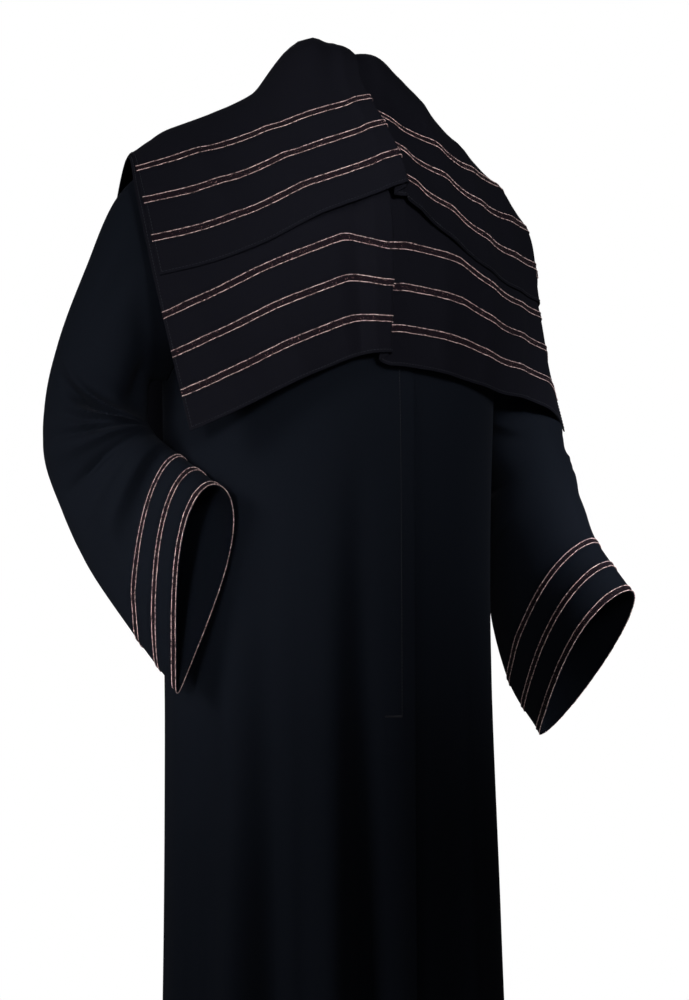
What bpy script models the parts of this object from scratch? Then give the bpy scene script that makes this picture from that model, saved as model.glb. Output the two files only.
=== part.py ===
"""An abaya with its matching shayla, as worn: a full-length robe that laps at the front, with two
wide sleeves, and a long scarf doubled over the neck and shoulders with both striped ends in front.

Metres, +Z up. +X is the wearer's left and -Y is the front. The origin is in the middle of the neck,
at the level where the garment hangs from the wearer.
"""
import math

import bpy
import numpy as np

# Cloth and seams
ROBE_CLOTH = 0.0013
SCARF_CLOTH = 0.0012
BRAID = 0.0009
SEAM_GAP = 0.0008
BRAID_GAP = 0.0004
LAP_GAP = 0.0026

# The robe
HEM_Z = -1.38
UNDERARM_Z = -0.38
SHOULDER_Z = -0.128
NECK_SIDE_Z = -0.026
NECK_FRONT_Z = -0.092
WEARER_MIDDLE = (0.0, 0.04, -0.30)
LEAN = 0.14                  # the wearer's right shoulder is held higher
LEAN_FULL_Z = -0.16
LEAN_NONE_Z = -0.60
LAP_EDGE_X = 0.034           # the right front ends this far past the centre
LAP_UNDER_X = -0.012         # and the left front passes under it to here
LAP_BLEND = math.radians(28)
LAP_BLEND_START = 0.12       # radians from the front centre
ARMHOLE_REACH = math.radians(28)
ARMHOLE_ROUNDING = 0.8       # below 1 the armhole widens sooner near its ends
NECK_SHARE = 0.4             # of the top edge, the rest being the shoulder seam
NECK_DIP = 1.6               # how late the neck's edge turns down to the front
FOLD_GROWTH = 0.45           # below 1 a fold is deep soon after it starts

# The trims
SLEEVE_BRAID_WIDTH = 0.008
SLEEVE_BRAID_STEP = 0.038
SLEEVE_BRAID_START = 0.002
SCARF_BRAID_WIDTH = 0.009
SCARF_BRAID_STEP = 0.048
SCARF_BRAID_START = 0.041
SHOWN_BELOW_UPPER = 0.012    # the lower end's top braid stays this far below the upper hem

# Sections of the robe's body: height, then half of the width, how far the front and the back stand
# from the origin, where the side seam is, how far the section has swayed sideways, and how pointed it
# is (below 1 it is squarer than an ellipse).
BODY = (
    (-0.026, 0.075, 0.044, 0.070, 0.012, 0.000, 1.00),
    (-0.072, 0.142, 0.0445, 0.088, 0.028, 0.000, 1.00),
    (-0.128, 0.218, 0.0525, 0.106, 0.038, 0.000, 1.00),
    (-0.168, 0.230, 0.076, 0.121, 0.040, 0.000, 1.00),
    (-0.210, 0.228, 0.092, 0.130, 0.040, -0.001, 1.00),
    (-0.380, 0.209, 0.119, 0.148, 0.042, -0.004, 0.95),
    (-0.600, 0.204, 0.124, 0.155, 0.044, -0.006, 0.92),
    (-1.000, 0.211, 0.128, 0.158, 0.045, 0.001, 0.92),
    (-1.380, 0.222, 0.136, 0.168, 0.045, 0.006, 0.92),
)

# Long folds of the skirt: angle from the front centre (degrees, + to the wearer's left), half of the
# angle that it takes, how far it stands out at the hem (- sinks in), and the height where it starts.
FOLDS = (
    (-82, 9, 0.007, -0.50),
    (-66, 6, -0.005, -0.62),
    (-53, 7, 0.009, -0.55),
    (-39, 6, -0.011, -0.52),
    (-18, 8, 0.011, -0.46),
    (-5, 6, -0.014, -0.42),
    (24, 10, -0.006, -0.55),
    (48, 11, 0.007, -0.45),
    (74, 9, -0.007, -0.60),
    (100, 10, 0.008, -0.50),
    (124, 9, -0.009, -0.55),
    (146, 10, 0.009, -0.45),
    (168, 9, -0.010, -0.50),
    (190, 10, 0.009, -0.42),
    (212, 9, -0.009, -0.55),
    (234, 10, 0.008, -0.50),
    (256, 9, -0.006, -0.60),
)

# Sections of each sleeve, from the shoulder to the cuff, as x, y, z of the crook, x, y, z of the fall,
# the half widths outside and inside the arm, and how much fuller each is near the crook than near the
# fall. The crook is the line along the front of the arm, from the underarm to the top of the wrist. The
# fall is the line from the shoulder round the elbow to the low point of the cuff.
SLEEVE_RIGHT = (
    (-0.230, 0.038, -0.370, -0.272, 0.050, -0.150, 0.060, 0.060, 0.00, 0.00),
    (-0.237, 0.028, -0.382, -0.306, 0.066, -0.235, 0.064, 0.062, 0.00, 0.00),
    (-0.240, 0.020, -0.396, -0.336, 0.078, -0.325, 0.062, 0.062, 0.10, 0.10),
    (-0.246, 0.014, -0.412, -0.354, 0.080, -0.415, 0.060, 0.058, 0.20, 0.20),
    (-0.244, 0.004, -0.426, -0.342, 0.056, -0.510, 0.058, 0.048, 0.35, 0.35),
    (-0.238, -0.008, -0.438, -0.310, 0.028, -0.592, 0.053, 0.038, 0.32, 0.32),
    (-0.226, -0.025, -0.452, -0.268, -0.003, -0.664, 0.044, 0.030, 0.20, 0.20),
    (-0.212, -0.106, -0.489, -0.241, -0.064, -0.727, 0.029, 0.034, 0.70, 0.70),
)
SLEEVE_LEFT = (
    (0.216, 0.036, -0.408, 0.254, 0.055, -0.215, 0.036, 0.050, 0.00, 0.00),
    (0.232, 0.026, -0.418, 0.272, 0.074, -0.300, 0.034, 0.049, 0.00, 0.00),
    (0.254, 0.018, -0.430, 0.292, 0.104, -0.390, 0.045, 0.051, 0.10, 0.10),
    (0.276, 0.004, -0.450, 0.296, 0.134, -0.475, 0.052, 0.055, 0.20, 0.20),
    (0.296, -0.002, -0.482, 0.292, 0.154, -0.560, 0.051, 0.054, 0.25, 0.25),
    (0.311, -0.006, -0.515, 0.290, 0.162, -0.650, 0.048, 0.050, 0.30, 0.30),
    (0.328, -0.012, -0.551, 0.302, 0.149, -0.732, 0.046, 0.046, 0.20, 0.45),
    (0.357, -0.060, -0.618, 0.323, 0.100, -0.805, 0.043, 0.041, 0.15, 0.60),
)

# Creases of the sleeves: how far down the sleeve (0 shoulder, 1 cuff), angle round it (0 at the
# crook, 90 in front, 180 at the fall, 270 behind), half lengths both ways, slant and rise.
CREASES_RIGHT = (
    (0.40, 80, 0.045, 70, 0.03, -0.009),
    (0.50, 85, 0.040, 75, 0.02, 0.008),
    (0.60, 80, 0.040, 65, 0.00, -0.009),
    (0.70, 90, 0.040, 60, -0.02, 0.006),
    (0.45, 280, 0.050, 60, 0.02, -0.008),
    (0.60, 275, 0.050, 60, 0.00, 0.006),
)
CREASES_LEFT = (
    (0.42, 70, 0.045, 60, 0.02, -0.006),
    (0.52, 75, 0.045, 60, 0.00, 0.005),
    (0.62, 70, 0.045, 55, 0.00, -0.006),
    (0.48, 285, 0.050, 60, 0.02, -0.006),
    (0.60, 280, 0.050, 60, 0.00, 0.005),
)

# The shayla lies on a surface through these lines, which run across its width from the wearer's
# right edge. Each line has a row for the same places across the width, which are given in SCARF_W:
# left of the pleat and right of it, where the cloth starts again a little lower.
PLEAT_W = 0.31
SCARF_W_RIGHT = (0.0, 0.065, 0.13, 0.195, 0.26, PLEAT_W)
SCARF_W_LEFT = (PLEAT_W, 0.35, 0.41, 0.48, 0.55, 0.62, 0.69)
LOWER_HEM_RIGHT = (
    (-0.2445, -0.110, -0.428), (-0.190, -0.117, -0.405), (-0.136, -0.124, -0.378),
    (-0.082, -0.129, -0.355), (-0.028, -0.132, -0.337), (0.016, -0.132, -0.335),
)
LOWER_HEM_LEFT = (
    (0.016, -0.132, -0.350), (0.054, -0.127, -0.355), (0.110, -0.110, -0.366), (0.172, -0.080, -0.379),
    (0.229, -0.039, -0.384), (0.290, 0.004, -0.400), (0.327, 0.047, -0.420),
)
UPPER_HEM_RIGHT = (
    (-0.263, -0.045, -0.250), (-0.211, -0.062, -0.237), (-0.151, -0.083, -0.215),
    (-0.094, -0.102, -0.183), (-0.036, -0.115, -0.161), (0.020, -0.119, -0.144),
)
UPPER_HEM_LEFT = (
    (0.020, -0.119, -0.158), (0.045, -0.118, -0.180), (0.100, -0.106, -0.210), (0.160, -0.080, -0.239),
    (0.212, -0.044, -0.254), (0.252, -0.014, -0.263), (0.275, 0.028, -0.271),
)
FRONT_BREAK_RIGHT = (
    (-0.270, -0.006, -0.150), (-0.213, -0.018, -0.118), (-0.154, -0.028, -0.096),
    (-0.100, -0.034, -0.058), (-0.046, -0.032, -0.008), (0.012, -0.030, -0.010),
)
FRONT_BREAK_LEFT = (
    (0.012, -0.030, -0.012), (0.040, -0.030, -0.026), (0.088, -0.030, -0.050), (0.138, -0.025, -0.088),
    (0.190, -0.012, -0.121), (0.240, 0.000, -0.168), (0.272, 0.024, -0.222),
)
CREST_RIGHT = (
    (-0.274, 0.048, -0.103), (-0.213, 0.042, -0.073), (-0.155, 0.035, -0.048),
    (-0.102, 0.022, -0.011), (-0.053, 0.007, 0.039), (0.004, 0.000, 0.030),
)
CREST_LEFT = (
    (0.004, 0.000, 0.029), (0.036, 0.000, 0.020), (0.084, 0.009, -0.010), (0.130, 0.017, -0.053),
    (0.180, 0.026, -0.097), (0.230, 0.038, -0.138), (0.267, 0.052, -0.180),
)
BACK_BREAK_RIGHT = (
    (-0.275, 0.100, -0.160), (-0.213, 0.098, -0.118), (-0.155, 0.090, -0.088),
    (-0.102, 0.075, -0.050), (-0.050, 0.052, 0.016), (0.000, 0.050, 0.010),
)
BACK_BREAK_LEFT = (
    (0.000, 0.050, 0.009), (0.034, 0.053, -0.002), (0.084, 0.078, -0.052), (0.130, 0.092, -0.098),
    (0.180, 0.100, -0.141), (0.231, 0.104, -0.183), (0.268, 0.108, -0.222),
)
UPPER_BACK_RIGHT = (
    (-0.268, 0.158, -0.330), (-0.206, 0.163, -0.280), (-0.148, 0.160, -0.240),
    (-0.094, 0.156, -0.205), (-0.048, 0.152, -0.170), (-0.010, 0.152, -0.160),
)
UPPER_BACK_LEFT = (
    (-0.010, 0.152, -0.160), (0.026, 0.154, -0.170), (0.074, 0.158, -0.205), (0.124, 0.162, -0.250),
    (0.174, 0.166, -0.300), (0.222, 0.170, -0.350), (0.266, 0.172, -0.395),
)
BACK_FOLD_RIGHT = (
    (-0.205, 0.186, -0.615), (-0.165, 0.190, -0.600), (-0.125, 0.188, -0.585),
    (-0.082, 0.184, -0.572), (-0.038, 0.180, -0.565), (-0.004, 0.180, -0.562),
)
BACK_FOLD_LEFT = (
    (-0.004, 0.180, -0.562), (0.032, 0.182, -0.567), (0.082, 0.186, -0.585), (0.132, 0.192, -0.607),
    (0.178, 0.196, -0.632), (0.222, 0.198, -0.656), (0.262, 0.196, -0.676),
)
SCARF_LINES = (
    (LOWER_HEM_RIGHT, LOWER_HEM_LEFT),
    (UPPER_HEM_RIGHT, UPPER_HEM_LEFT),
    (FRONT_BREAK_RIGHT, FRONT_BREAK_LEFT),
    (CREST_RIGHT, CREST_LEFT),
    (BACK_BREAK_RIGHT, BACK_BREAK_LEFT),
    (UPPER_BACK_RIGHT, UPPER_BACK_LEFT),
    (BACK_FOLD_RIGHT, BACK_FOLD_LEFT),
)

# The pleat of each end of the shayla: place along the width from the pleat's edge, share of the step
# down to the cloth on the other side, and how far the cloth stands above the surface.
PLEAT = (
    (-0.0300, 0.00, 0.0036),
    (-0.0180, 0.00, 0.0078),
    (0.0000, 0.00, 0.0080),
    (0.0017, 0.10, 0.0052),
    (0.0000, 0.20, 0.0024),
    (-0.0120, 0.50, 0.0024),
    (-0.0132, 0.55, 0.0012),
    (-0.0120, 0.60, 0.0000),
    (0.0060, 1.00, 0.0000),
)
LOWER_PLEAT_W = PLEAT_W - 0.020
PLEAT_DROP = UPPER_HEM_RIGHT[-1][2] - UPPER_HEM_LEFT[0][2]

# How far the upper end stands off the lower one, all over and round the pleats.
LAYER_RISE = 0.0020
LAYER_PUFF = 0.0104
LAYER_PUFF_SPREAD = 0.085

# Mesh sizes
SKIRT_ROWS = 7
ARMHOLE_ROWS = 9
BACK_COLUMNS = 26
FRONT_COLUMNS = 13
LAP_SHARE = 0.1
SLEEVE_ROWS = 11
SCARF_PLAIN_RIGHT = np.linspace(0, 0.250, 7)
SCARF_PLAIN_LEFT = np.linspace(0.330, 0.69, 9)
SCARF_BACK_ROWS = 12
SCARF_BACK_CROWDING = 2      # above 1 the rows lie closer together near the crest
CURVE_STEPS = 400
SLEEVE_STEPS = 241
SHARP_ANGLE = math.radians(50)

CLOTH_COLOUR = (0.006, 0.007, 0.010)
BRAID_COLOUR = (0.42, 0.25, 0.24)


def smooth_table(places, rows, at, steady=False):
    """Rows of a table at other places, on a smooth curve through its own rows.

    A steady curve never goes beyond the two rows on either side of it.
    """
    places = np.asarray(places, float)
    rows = np.asarray(rows, float)
    at = np.clip(np.asarray(at, float), places[0], places[-1])
    steps = np.diff(places)
    slopes = np.diff(rows, axis=0) / steps[:, None]
    before, after = steps[:-1, None], steps[1:, None]
    middle = (slopes[:-1] * after + slopes[1:] * before) / (before + after)
    if steady:
        same_way = slopes[:-1] * slopes[1:] > 0
        total = np.where(same_way, slopes[:-1] + slopes[1:], 1.0)
        middle = np.where(same_way, 2 * slopes[:-1] * slopes[1:] / total, 0.0)
    tangents = np.vstack([slopes[:1], middle, slopes[-1:]])
    low = np.clip(np.searchsorted(places, at, side="right") - 1, 0, len(steps) - 1)
    step = steps[low][..., None]
    t = ((at - places[low]) / steps[low])[..., None]
    return ((2 * t**3 - 3 * t**2 + 1) * rows[low] + (t**3 - 2 * t**2 + t) * step * tangents[low]
            + (3 * t**2 - 2 * t**3) * rows[low + 1] + (t**3 - t**2) * step * tangents[low + 1])


def fade(value, start, end):
    """0 before start, 1 after end, and smooth between them."""
    t = np.clip((value - start) / (end - start), 0.0, 1.0)
    return t * t * (3 - 2 * t)


def signed_power(value, power):
    """A power that keeps the sign of its value."""
    return np.sign(value) * np.abs(value)**power


def unit(vectors):
    """The same directions with a length of 1."""
    return vectors / np.maximum(np.linalg.norm(vectors, axis=-1, keepdims=True), 1e-12)


def body_sizes(z):
    """The columns of BODY at the given heights, as arrays."""
    rows = np.array(BODY)[::-1]
    table = smooth_table(rows[:, 0], rows[:, 1:], z, steady=True)
    return [table[..., column] for column in range(table.shape[-1])]


def body_points(angle, z):
    """The robe's outer surface, at an angle round it from the front centre and a height."""
    angle = np.asarray(angle, float)
    z = np.asarray(z, float)
    half, front, back, side_y, sway, pointed = body_sizes(z)
    depth = np.where(np.cos(angle) > 0, front + side_y, back - side_y)
    out = np.zeros_like(z)
    for fold_angle, spread, rise, top in FOLDS:
        turn = np.degrees(angle) - fold_angle
        turn = (turn + 180) % 360 - 180
        out = out + rise * np.exp(-(turn / spread)**2) * fade(-z, -top, -HEM_Z)**FOLD_GROWTH
    x = half * signed_power(np.sin(angle), pointed)
    y = -depth * signed_power(np.cos(angle), pointed)
    stretch = 1 + out / np.maximum(np.hypot(x, y), 0.02)
    lift = -LEAN * x * (1 - fade(-z, -LEAN_FULL_Z, -LEAN_NONE_Z))
    return np.stack([sway + x * stretch, side_y + y * stretch, z + lift], axis=-1)


def body_normals(angle, z):
    """Outward directions of the robe's surface."""
    step = 1e-4
    round_ = body_points(angle + step, z) - body_points(angle - step, z)
    high = np.minimum(z + step, BODY[0][0])
    up = body_points(angle, high) - body_points(angle, high - 2 * step)
    return unit(np.cross(round_, up))


def angle_at_x(x, z):
    """The angle at which the front surface has the given x."""
    half, _, _, _, sway, pointed = body_sizes(z)
    return np.arcsin(signed_power((x - sway) / half, 1 / pointed))


def armhole_shares(rows):
    """Places from the underarm to the shoulder, closer together near both ends."""
    even = np.linspace(0, 1, rows + 1)
    return 0.5 * even + 0.25 * (1 - np.cos(math.pi * even))


def patch(bottom, top, start, end, rows, shares):
    """A grid that fills in four edges, each a function from 0 to 1 to (angle, height)."""
    v = armhole_shares(rows)[:, None, None]
    u = shares[None, :, None]
    across = (1 - v) * bottom(u[0, :, 0])[None] + v * top(u[0, :, 0])[None]
    along = (1 - u) * start(v[:, 0, 0])[:, None] + u * end(v[:, 0, 0])[:, None]
    corners = ((1 - u) * (1 - v) * bottom(np.zeros(1)) + u * (1 - v) * bottom(np.ones(1))
               + (1 - u) * v * top(np.zeros(1)) + u * v * top(np.ones(1)))
    return across + along - corners


def armhole(share, side, front):
    """Angle and height along half of an armhole, from the underarm to the shoulder."""
    reach = ARMHOLE_REACH * np.sin(math.pi * share)**ARMHOLE_ROUNDING
    middle = side * math.pi / 2
    toward_front = -side if front else side
    angle = middle + toward_front * reach
    z = UNDERARM_Z + (SHOULDER_Z - UNDERARM_Z) * share
    return np.stack([angle, z], axis=-1)


def top_edge(share, side, start_angle, start_z):
    """The neck edge from the middle of the garment, then the shoulder seam out to the shoulder."""
    middle = side * math.pi / 2
    along_neck = np.clip(share / NECK_SHARE, 0, 1)
    along_seam = np.clip((share - NECK_SHARE) / (1 - NECK_SHARE), 0, 1)
    neck_angle = start_angle + (middle - start_angle) * along_neck
    neck_z = NECK_SIDE_Z + (start_z - NECK_SIDE_Z) * (1 - along_neck**NECK_DIP)
    seam_z = NECK_SIDE_Z + (SHOULDER_Z - NECK_SIDE_Z) * along_seam
    on_neck = share <= NECK_SHARE
    return np.stack([np.where(on_neck, neck_angle, middle), np.where(on_neck, neck_z, seam_z)], axis=-1)


def skirt_rows(rows):
    """Heights from the hem to the underarm."""
    return np.linspace(HEM_Z, UNDERARM_Z, rows + 1)[:-1]


def front_grid(side, edge_x, skirt, upper, columns):
    """Angles and heights of one front, from its own edge to the side seam, hem to shoulder."""
    def edge_angle(z):
        return angle_at_x(edge_x, z)

    heights = skirt_rows(skirt)
    share = np.concatenate([[0.0], np.linspace(LAP_SHARE, 1, columns)])
    low = np.stack([np.stack([edge_angle(np.full_like(share, z)) * (1 - share) + side * math.pi / 2 * share,
                              np.full_like(share, z)], axis=-1) for z in heights])

    def bottom(u):
        z = np.full_like(u, UNDERARM_Z)
        return np.stack([edge_angle(z) * (1 - u) + side * math.pi / 2 * u, z], axis=-1)

    def start(v):
        z = UNDERARM_Z + (NECK_FRONT_Z - UNDERARM_Z) * v
        return np.stack([edge_angle(z), z], axis=-1)

    def end(v):
        return armhole(v, side, True)

    def top(u):
        return top_edge(u, side, edge_angle(np.array(NECK_FRONT_Z)), NECK_FRONT_Z)

    return np.vstack([low, patch(bottom, top, start, end, upper, share)])


def back_grid(skirt, upper, columns):
    """Angles and heights of the back, from the wearer's left side seam round to the right one."""
    half = columns // 2
    share = np.linspace(0, 1, columns + 1)
    angles = math.pi / 2 + math.pi * share
    low = np.stack([np.stack([angles, np.full_like(angles, z)], axis=-1) for z in skirt_rows(skirt)])
    halves = []
    for side in (1, -1):
        seam = side * math.pi / 2
        centre = side * math.pi

        def bottom(u):
            return np.stack([centre + (seam - centre) * u, np.full_like(u, UNDERARM_Z)], axis=-1)

        def start(v):
            return np.stack([np.full_like(v, centre), UNDERARM_Z + (NECK_SIDE_Z - UNDERARM_Z) * v], axis=-1)

        def end(v):
            return armhole(v, side, False)

        def top(u):
            return top_edge(u, side, centre, NECK_SIDE_Z)

        halves.append(patch(bottom, top, start, end, upper, np.linspace(0, 1, half + 1)))
    left, right = halves
    right = right + np.array([2 * math.pi, 0.0])
    return np.vstack([low, np.hstack([left[:, ::-1], right[:, 1:]])])


def pull_in(line, inner, normals, closed=False):
    """Move an edge of a grid into its piece, so that two pieces sewn there are a seam's gap apart."""
    if closed:
        along = np.roll(line, -1, axis=0) - np.roll(line, 1, axis=0)
    else:
        along = np.gradient(line, axis=0)
    inward = unit(np.cross(normals, along))
    if np.einsum("ij,ij->", inward, inner - line) < 0:
        inward = -inward
    line += inward * SEAM_GAP / 2


def grid_normals(points, closed):
    """Directions across a grid of points, averaged over the cells that meet at each."""
    if closed:
        wide = np.concatenate([points[:, -1:], points, points[:, :1]], axis=1)
    else:
        before, after = 2 * points[:, :1] - points[:, 1:2], 2 * points[:, -1:] - points[:, -2:-1]
        wide = np.concatenate([before, points, after], axis=1)
    tall = np.concatenate([2 * wide[:1] - wide[1:2], wide, 2 * wide[-1:] - wide[-2:-1]], axis=0)
    across = unit(np.diff(tall, axis=1))
    along = unit(np.diff(tall, axis=0))
    total = np.zeros_like(points)
    for row in (0, 1):
        for column in (0, 1):
            a = across[1:-1, column:column + points.shape[1]]
            b = along[row:row + points.shape[0], 1:-1]
            total = total + unit(np.cross(a, b))
    return unit(total)


def wall(name, outer, normals, thickness, closed, material):
    """A closed solid between a grid of points and the same points moved in by the thickness."""
    rows, columns = outer.shape[:2]
    inner = outer - normals * thickness
    points = np.concatenate([outer.reshape(-1, 3), inner.reshape(-1, 3)])
    back = rows * columns
    faces = []
    spans = columns if closed else columns - 1
    for row in range(rows - 1):
        for column in range(spans):
            after = (column + 1) % columns
            a, b = row * columns + column, row * columns + after
            d, c = a + columns, b + columns
            faces += [(a, b, c), (a, c, d), (back + a, back + c, back + b), (back + a, back + d, back + c)]
    for row, turn in ((0, False), (rows - 1, True)):
        for column in range(spans):
            after = (column + 1) % columns
            a, b = row * columns + column, row * columns + after
            faces += rim(a, b, back, turn)
    if not closed:
        for column, turn in ((0, True), (columns - 1, False)):
            for row in range(rows - 1):
                a, b = row * columns + column, (row + 1) * columns + column
                faces += rim(a, b, back, turn)
    return solid(name, points, faces, material)


def rim(a, b, back, turn):
    """Two triangles that close the wall's edge between two neighbouring points."""
    if turn:
        return [(a, b, back + b), (a, back + b, back + a)]
    return [(b, a, back + a), (b, back + a, back + b)]


def solid(name, points, faces, material):
    """An object from points and triangles, turned so that its faces look out."""
    corners = points[np.array(faces)]
    volume = np.einsum("ij,ij->i", corners[:, 0], np.cross(corners[:, 1], corners[:, 2])).sum()
    if volume < 0:
        faces = [face[::-1] for face in faces]
    mesh = bpy.data.meshes.new(name)
    mesh.from_pydata([tuple(point) for point in points], [], faces)
    mesh.materials.append(material)
    mesh.shade_smooth()
    mesh.set_sharp_from_angle(angle=SHARP_ANGLE)
    obj = bpy.data.objects.new(name, mesh)
    bpy.context.scene.collection.objects.link(obj)
    return obj


def sleeve_rings(table, hole, side, count):
    """Rings of points at each section of a sleeve, the first being the armhole itself."""
    turn = np.arange(count) * 2 * math.pi / count
    table = np.array(table)
    crook, fall = table[:, 0:3], table[:, 3:6]
    middle = (crook + fall) / 2
    ahead = np.gradient(np.vstack([hole.mean(axis=0), middle]), axis=0)[1:]
    across = unit(np.cross(crook - fall, ahead)) * side
    rings = [hole]
    for row, (*_, outside, inside, fuller_outside, fuller_inside) in enumerate(table):
        arm = (crook[row] - fall[row]) / 2
        half = np.where(np.sin(turn) > 0, outside, inside)
        fuller = np.where(np.sin(turn) > 0, fuller_outside, fuller_inside)
        wide = half * np.sin(turn) * (1 + fuller * np.cos(turn))
        rings.append(middle[row] + np.cos(turn)[:, None] * arm + wide[:, None] * across[row])
    return np.array(rings)


def ring_places(rings):
    """The share of the sleeve's length at which each ring lies."""
    steps = np.linalg.norm(np.diff(rings, axis=0), axis=-1).mean(axis=1)
    length = np.concatenate([[0.0], np.cumsum(steps)])
    return length / length[-1]


def sleeve_surface(rings, creases, at):
    """The sleeve's outer surface at the given shares of its length, with its creases."""
    count = rings.shape[1]
    places = ring_places(rings)
    flat = smooth_table(places, rings.reshape(len(rings), -1), at)
    points = flat.reshape(len(at), count, 3)
    centre = points.mean(axis=1, keepdims=True)
    out = unit(points - centre)
    turn = np.degrees(np.arange(count) * 2 * math.pi / count)
    for along, round_, along_spread, round_spread, slant, rise in creases:
        away = (turn - round_ + 180) % 360 - 180
        place = along + slant * away / round_spread
        shape = np.exp(-((at[:, None] - place) / along_spread)**2) * np.exp(-(away / round_spread)**2)
        points = points + out * (rise * shape)[..., None]
    return points


def sleeve_places(rings, creases, distances, rows):
    """Shares of the sleeve's length for the braids' edges, then evenly spread ones up to the armhole."""
    fine = np.linspace(0, 1, SLEEVE_STEPS)
    surface = sleeve_surface(rings, creases, fine)
    steps = np.linalg.norm(np.diff(surface, axis=0), axis=-1).mean(axis=1)
    from_cuff = np.concatenate([np.cumsum(steps[::-1])[::-1], [0.0]])
    braids = np.interp(distances, from_cuff[::-1], fine[::-1])
    upper = np.linspace(0, braids.min(), rows + 1)[:-1]
    return np.sort(np.concatenate([upper, braids, [1.0]]))


def braid_distances(start, step, width, count=3):
    """Distances from a hem to both edges of each braid."""
    return np.array([[start + step * index, start + step * index + width] for index in range(count)])


def plain_material(name, colour, roughness):
    """A matt material of one colour."""
    material = bpy.data.materials.new(name)
    material.use_nodes = True
    shader = material.node_tree.nodes["Principled BSDF"]
    shader.inputs["Base Color"].default_value = (*colour, 1.0)
    shader.inputs["Roughness"].default_value = roughness
    return material


def braid(name, surface, normals, closed, material):
    """A narrow braid on a strip of a panel's own points, moved out."""
    lifted = surface + normals * (BRAID_GAP + BRAID)
    return wall(name, lifted, normals, BRAID, closed, material)


def armhole_points(side, count):
    """The armhole's points and outward directions, round from the underarm by the front and the shoulder."""
    share = armhole_shares(count // 2)
    front = armhole(share, side, True)
    back = armhole(share, side, False)[::-1]
    ring = np.vstack([front, back[1:-1]])
    return body_points(ring[:, 0], ring[:, 1]), body_normals(ring[:, 0], ring[:, 1])


def build_sleeve(name, side, table, creases, cloth, trim):
    """A sleeve and its braids. Returns the robe's directions along its seam."""
    count = 2 * ARMHOLE_ROWS
    hole, body_out = armhole_points(side, count)
    rings = sleeve_rings(table, hole, side, count)
    edges = braid_distances(SLEEVE_BRAID_START, SLEEVE_BRAID_STEP, SLEEVE_BRAID_WIDTH)
    places = sleeve_places(rings, creases, edges.ravel(), SLEEVE_ROWS)
    points = sleeve_surface(rings, creases, places)
    normals = grid_normals(points, True)
    if np.einsum("ij,ij->i", normals[-1], points[-1] - points[-1].mean(axis=0)).sum() < 0:
        normals = -normals
    body_edge, normals[0] = mitred(body_out, normals[0])
    pull_in(points[0], points[1], normals[0], closed=True)
    wall(name, points, normals, ROBE_CLOTH, True, cloth)
    rows_from_cuff = len(places) - 2
    for index in range(3):
        low = rows_from_cuff - 2 * index
        strip = slice(low - 1, low + 1)
        braid(f"{name}_trim_{index + 1}", points[strip], normals[strip], True, trim)
    return body_edge


def mitred(first, second):
    """Directions for two edges sewn together: halfway between, or each its own in a deep valley."""
    facing = (first * second).sum(axis=-1, keepdims=True)
    halfway = unit(first + second)
    return np.where(facing > 0, halfway, first), np.where(facing > 0, halfway, second)


def panel_normals(grid, points, columns):
    """Outward directions of a panel: of its own cells inside, and of the whole robe at its seams."""
    whole = body_normals(grid[..., 0], grid[..., 1])
    normals = grid_normals(points, False)
    if np.einsum("ijk,ijk->", normals, whole) < 0:
        normals = -normals
    normals[-1] = whole[-1]
    for column in columns:
        normals[:, column] = whole[:, column]
    return normals


def lap_offset(angle):
    """How far the left front sinks to pass under the right one."""
    return (ROBE_CLOTH + LAP_GAP) * (1 - fade(angle, LAP_BLEND_START, LAP_BLEND_START + LAP_BLEND))


def build_robe(cloth, trim):
    """The sleeves, the fronts and the back."""
    edge_left = build_sleeve("sleeve_left", 1, SLEEVE_LEFT, CREASES_LEFT, cloth, trim)
    edge_right = build_sleeve("sleeve_right", -1, SLEEVE_RIGHT, CREASES_RIGHT, cloth, trim)
    shared = {1: edge_left, -1: edge_right}
    half = ARMHOLE_ROWS
    hole_rows = slice(SKIRT_ROWS, None)
    for name, side, edge_x in (("front_right", -1, LAP_EDGE_X), ("front_left", 1, LAP_UNDER_X)):
        grid = front_grid(side, edge_x, SKIRT_ROWS, ARMHOLE_ROWS, FRONT_COLUMNS)
        points = body_points(grid[..., 0], grid[..., 1])
        if side > 0:
            normals = body_normals(grid[..., 0], grid[..., 1])
            points = points - normals * lap_offset(grid[..., 0])[..., None]
        normals = panel_normals(grid, points, columns=(-1,))
        normals[hole_rows, -1] = shared[side][:half + 1]
        pull_in(points[:, -1], points[:, -2], normals[:, -1])
        pull_in(points[-1], points[-2], normals[-1])
        wall(name, points, normals, ROBE_CLOTH, False, cloth)
    grid = back_grid(SKIRT_ROWS, ARMHOLE_ROWS, BACK_COLUMNS)
    points = body_points(grid[..., 0], grid[..., 1])
    normals = panel_normals(grid, points, columns=(0, -1))
    for side, column, inner in ((1, 0, 1), (-1, -1, -2)):
        around = np.concatenate([shared[side][:1], shared[side][:half - 1:-1]])
        normals[hole_rows, column] = around
        pull_in(points[:, column], points[:, inner], normals[:, column])
    pull_in(points[-1], points[-2], normals[-1])
    wall("back", points, normals, ROBE_CLOTH, False, cloth)


def scarf_lines(w, share):
    """The points of one column of the shayla's surface, hem to back fold."""
    step = np.array([np.array(left[0]) - np.array(right[-1]) for right, left in SCARF_LINES])
    if share >= 1 and w >= PLEAT_W:
        return np.array([smooth_table(SCARF_W_LEFT, left, w) for _, left in SCARF_LINES])
    whole = np.array([smooth_table(SCARF_W_RIGHT, right, w) for right, _ in SCARF_LINES])
    edge = unit(np.array([np.array(right[-1]) - np.array(right[-2]) for right, _ in SCARF_LINES]))
    return whole + step * share + edge * max(w - PLEAT_W, 0.0)


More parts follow.
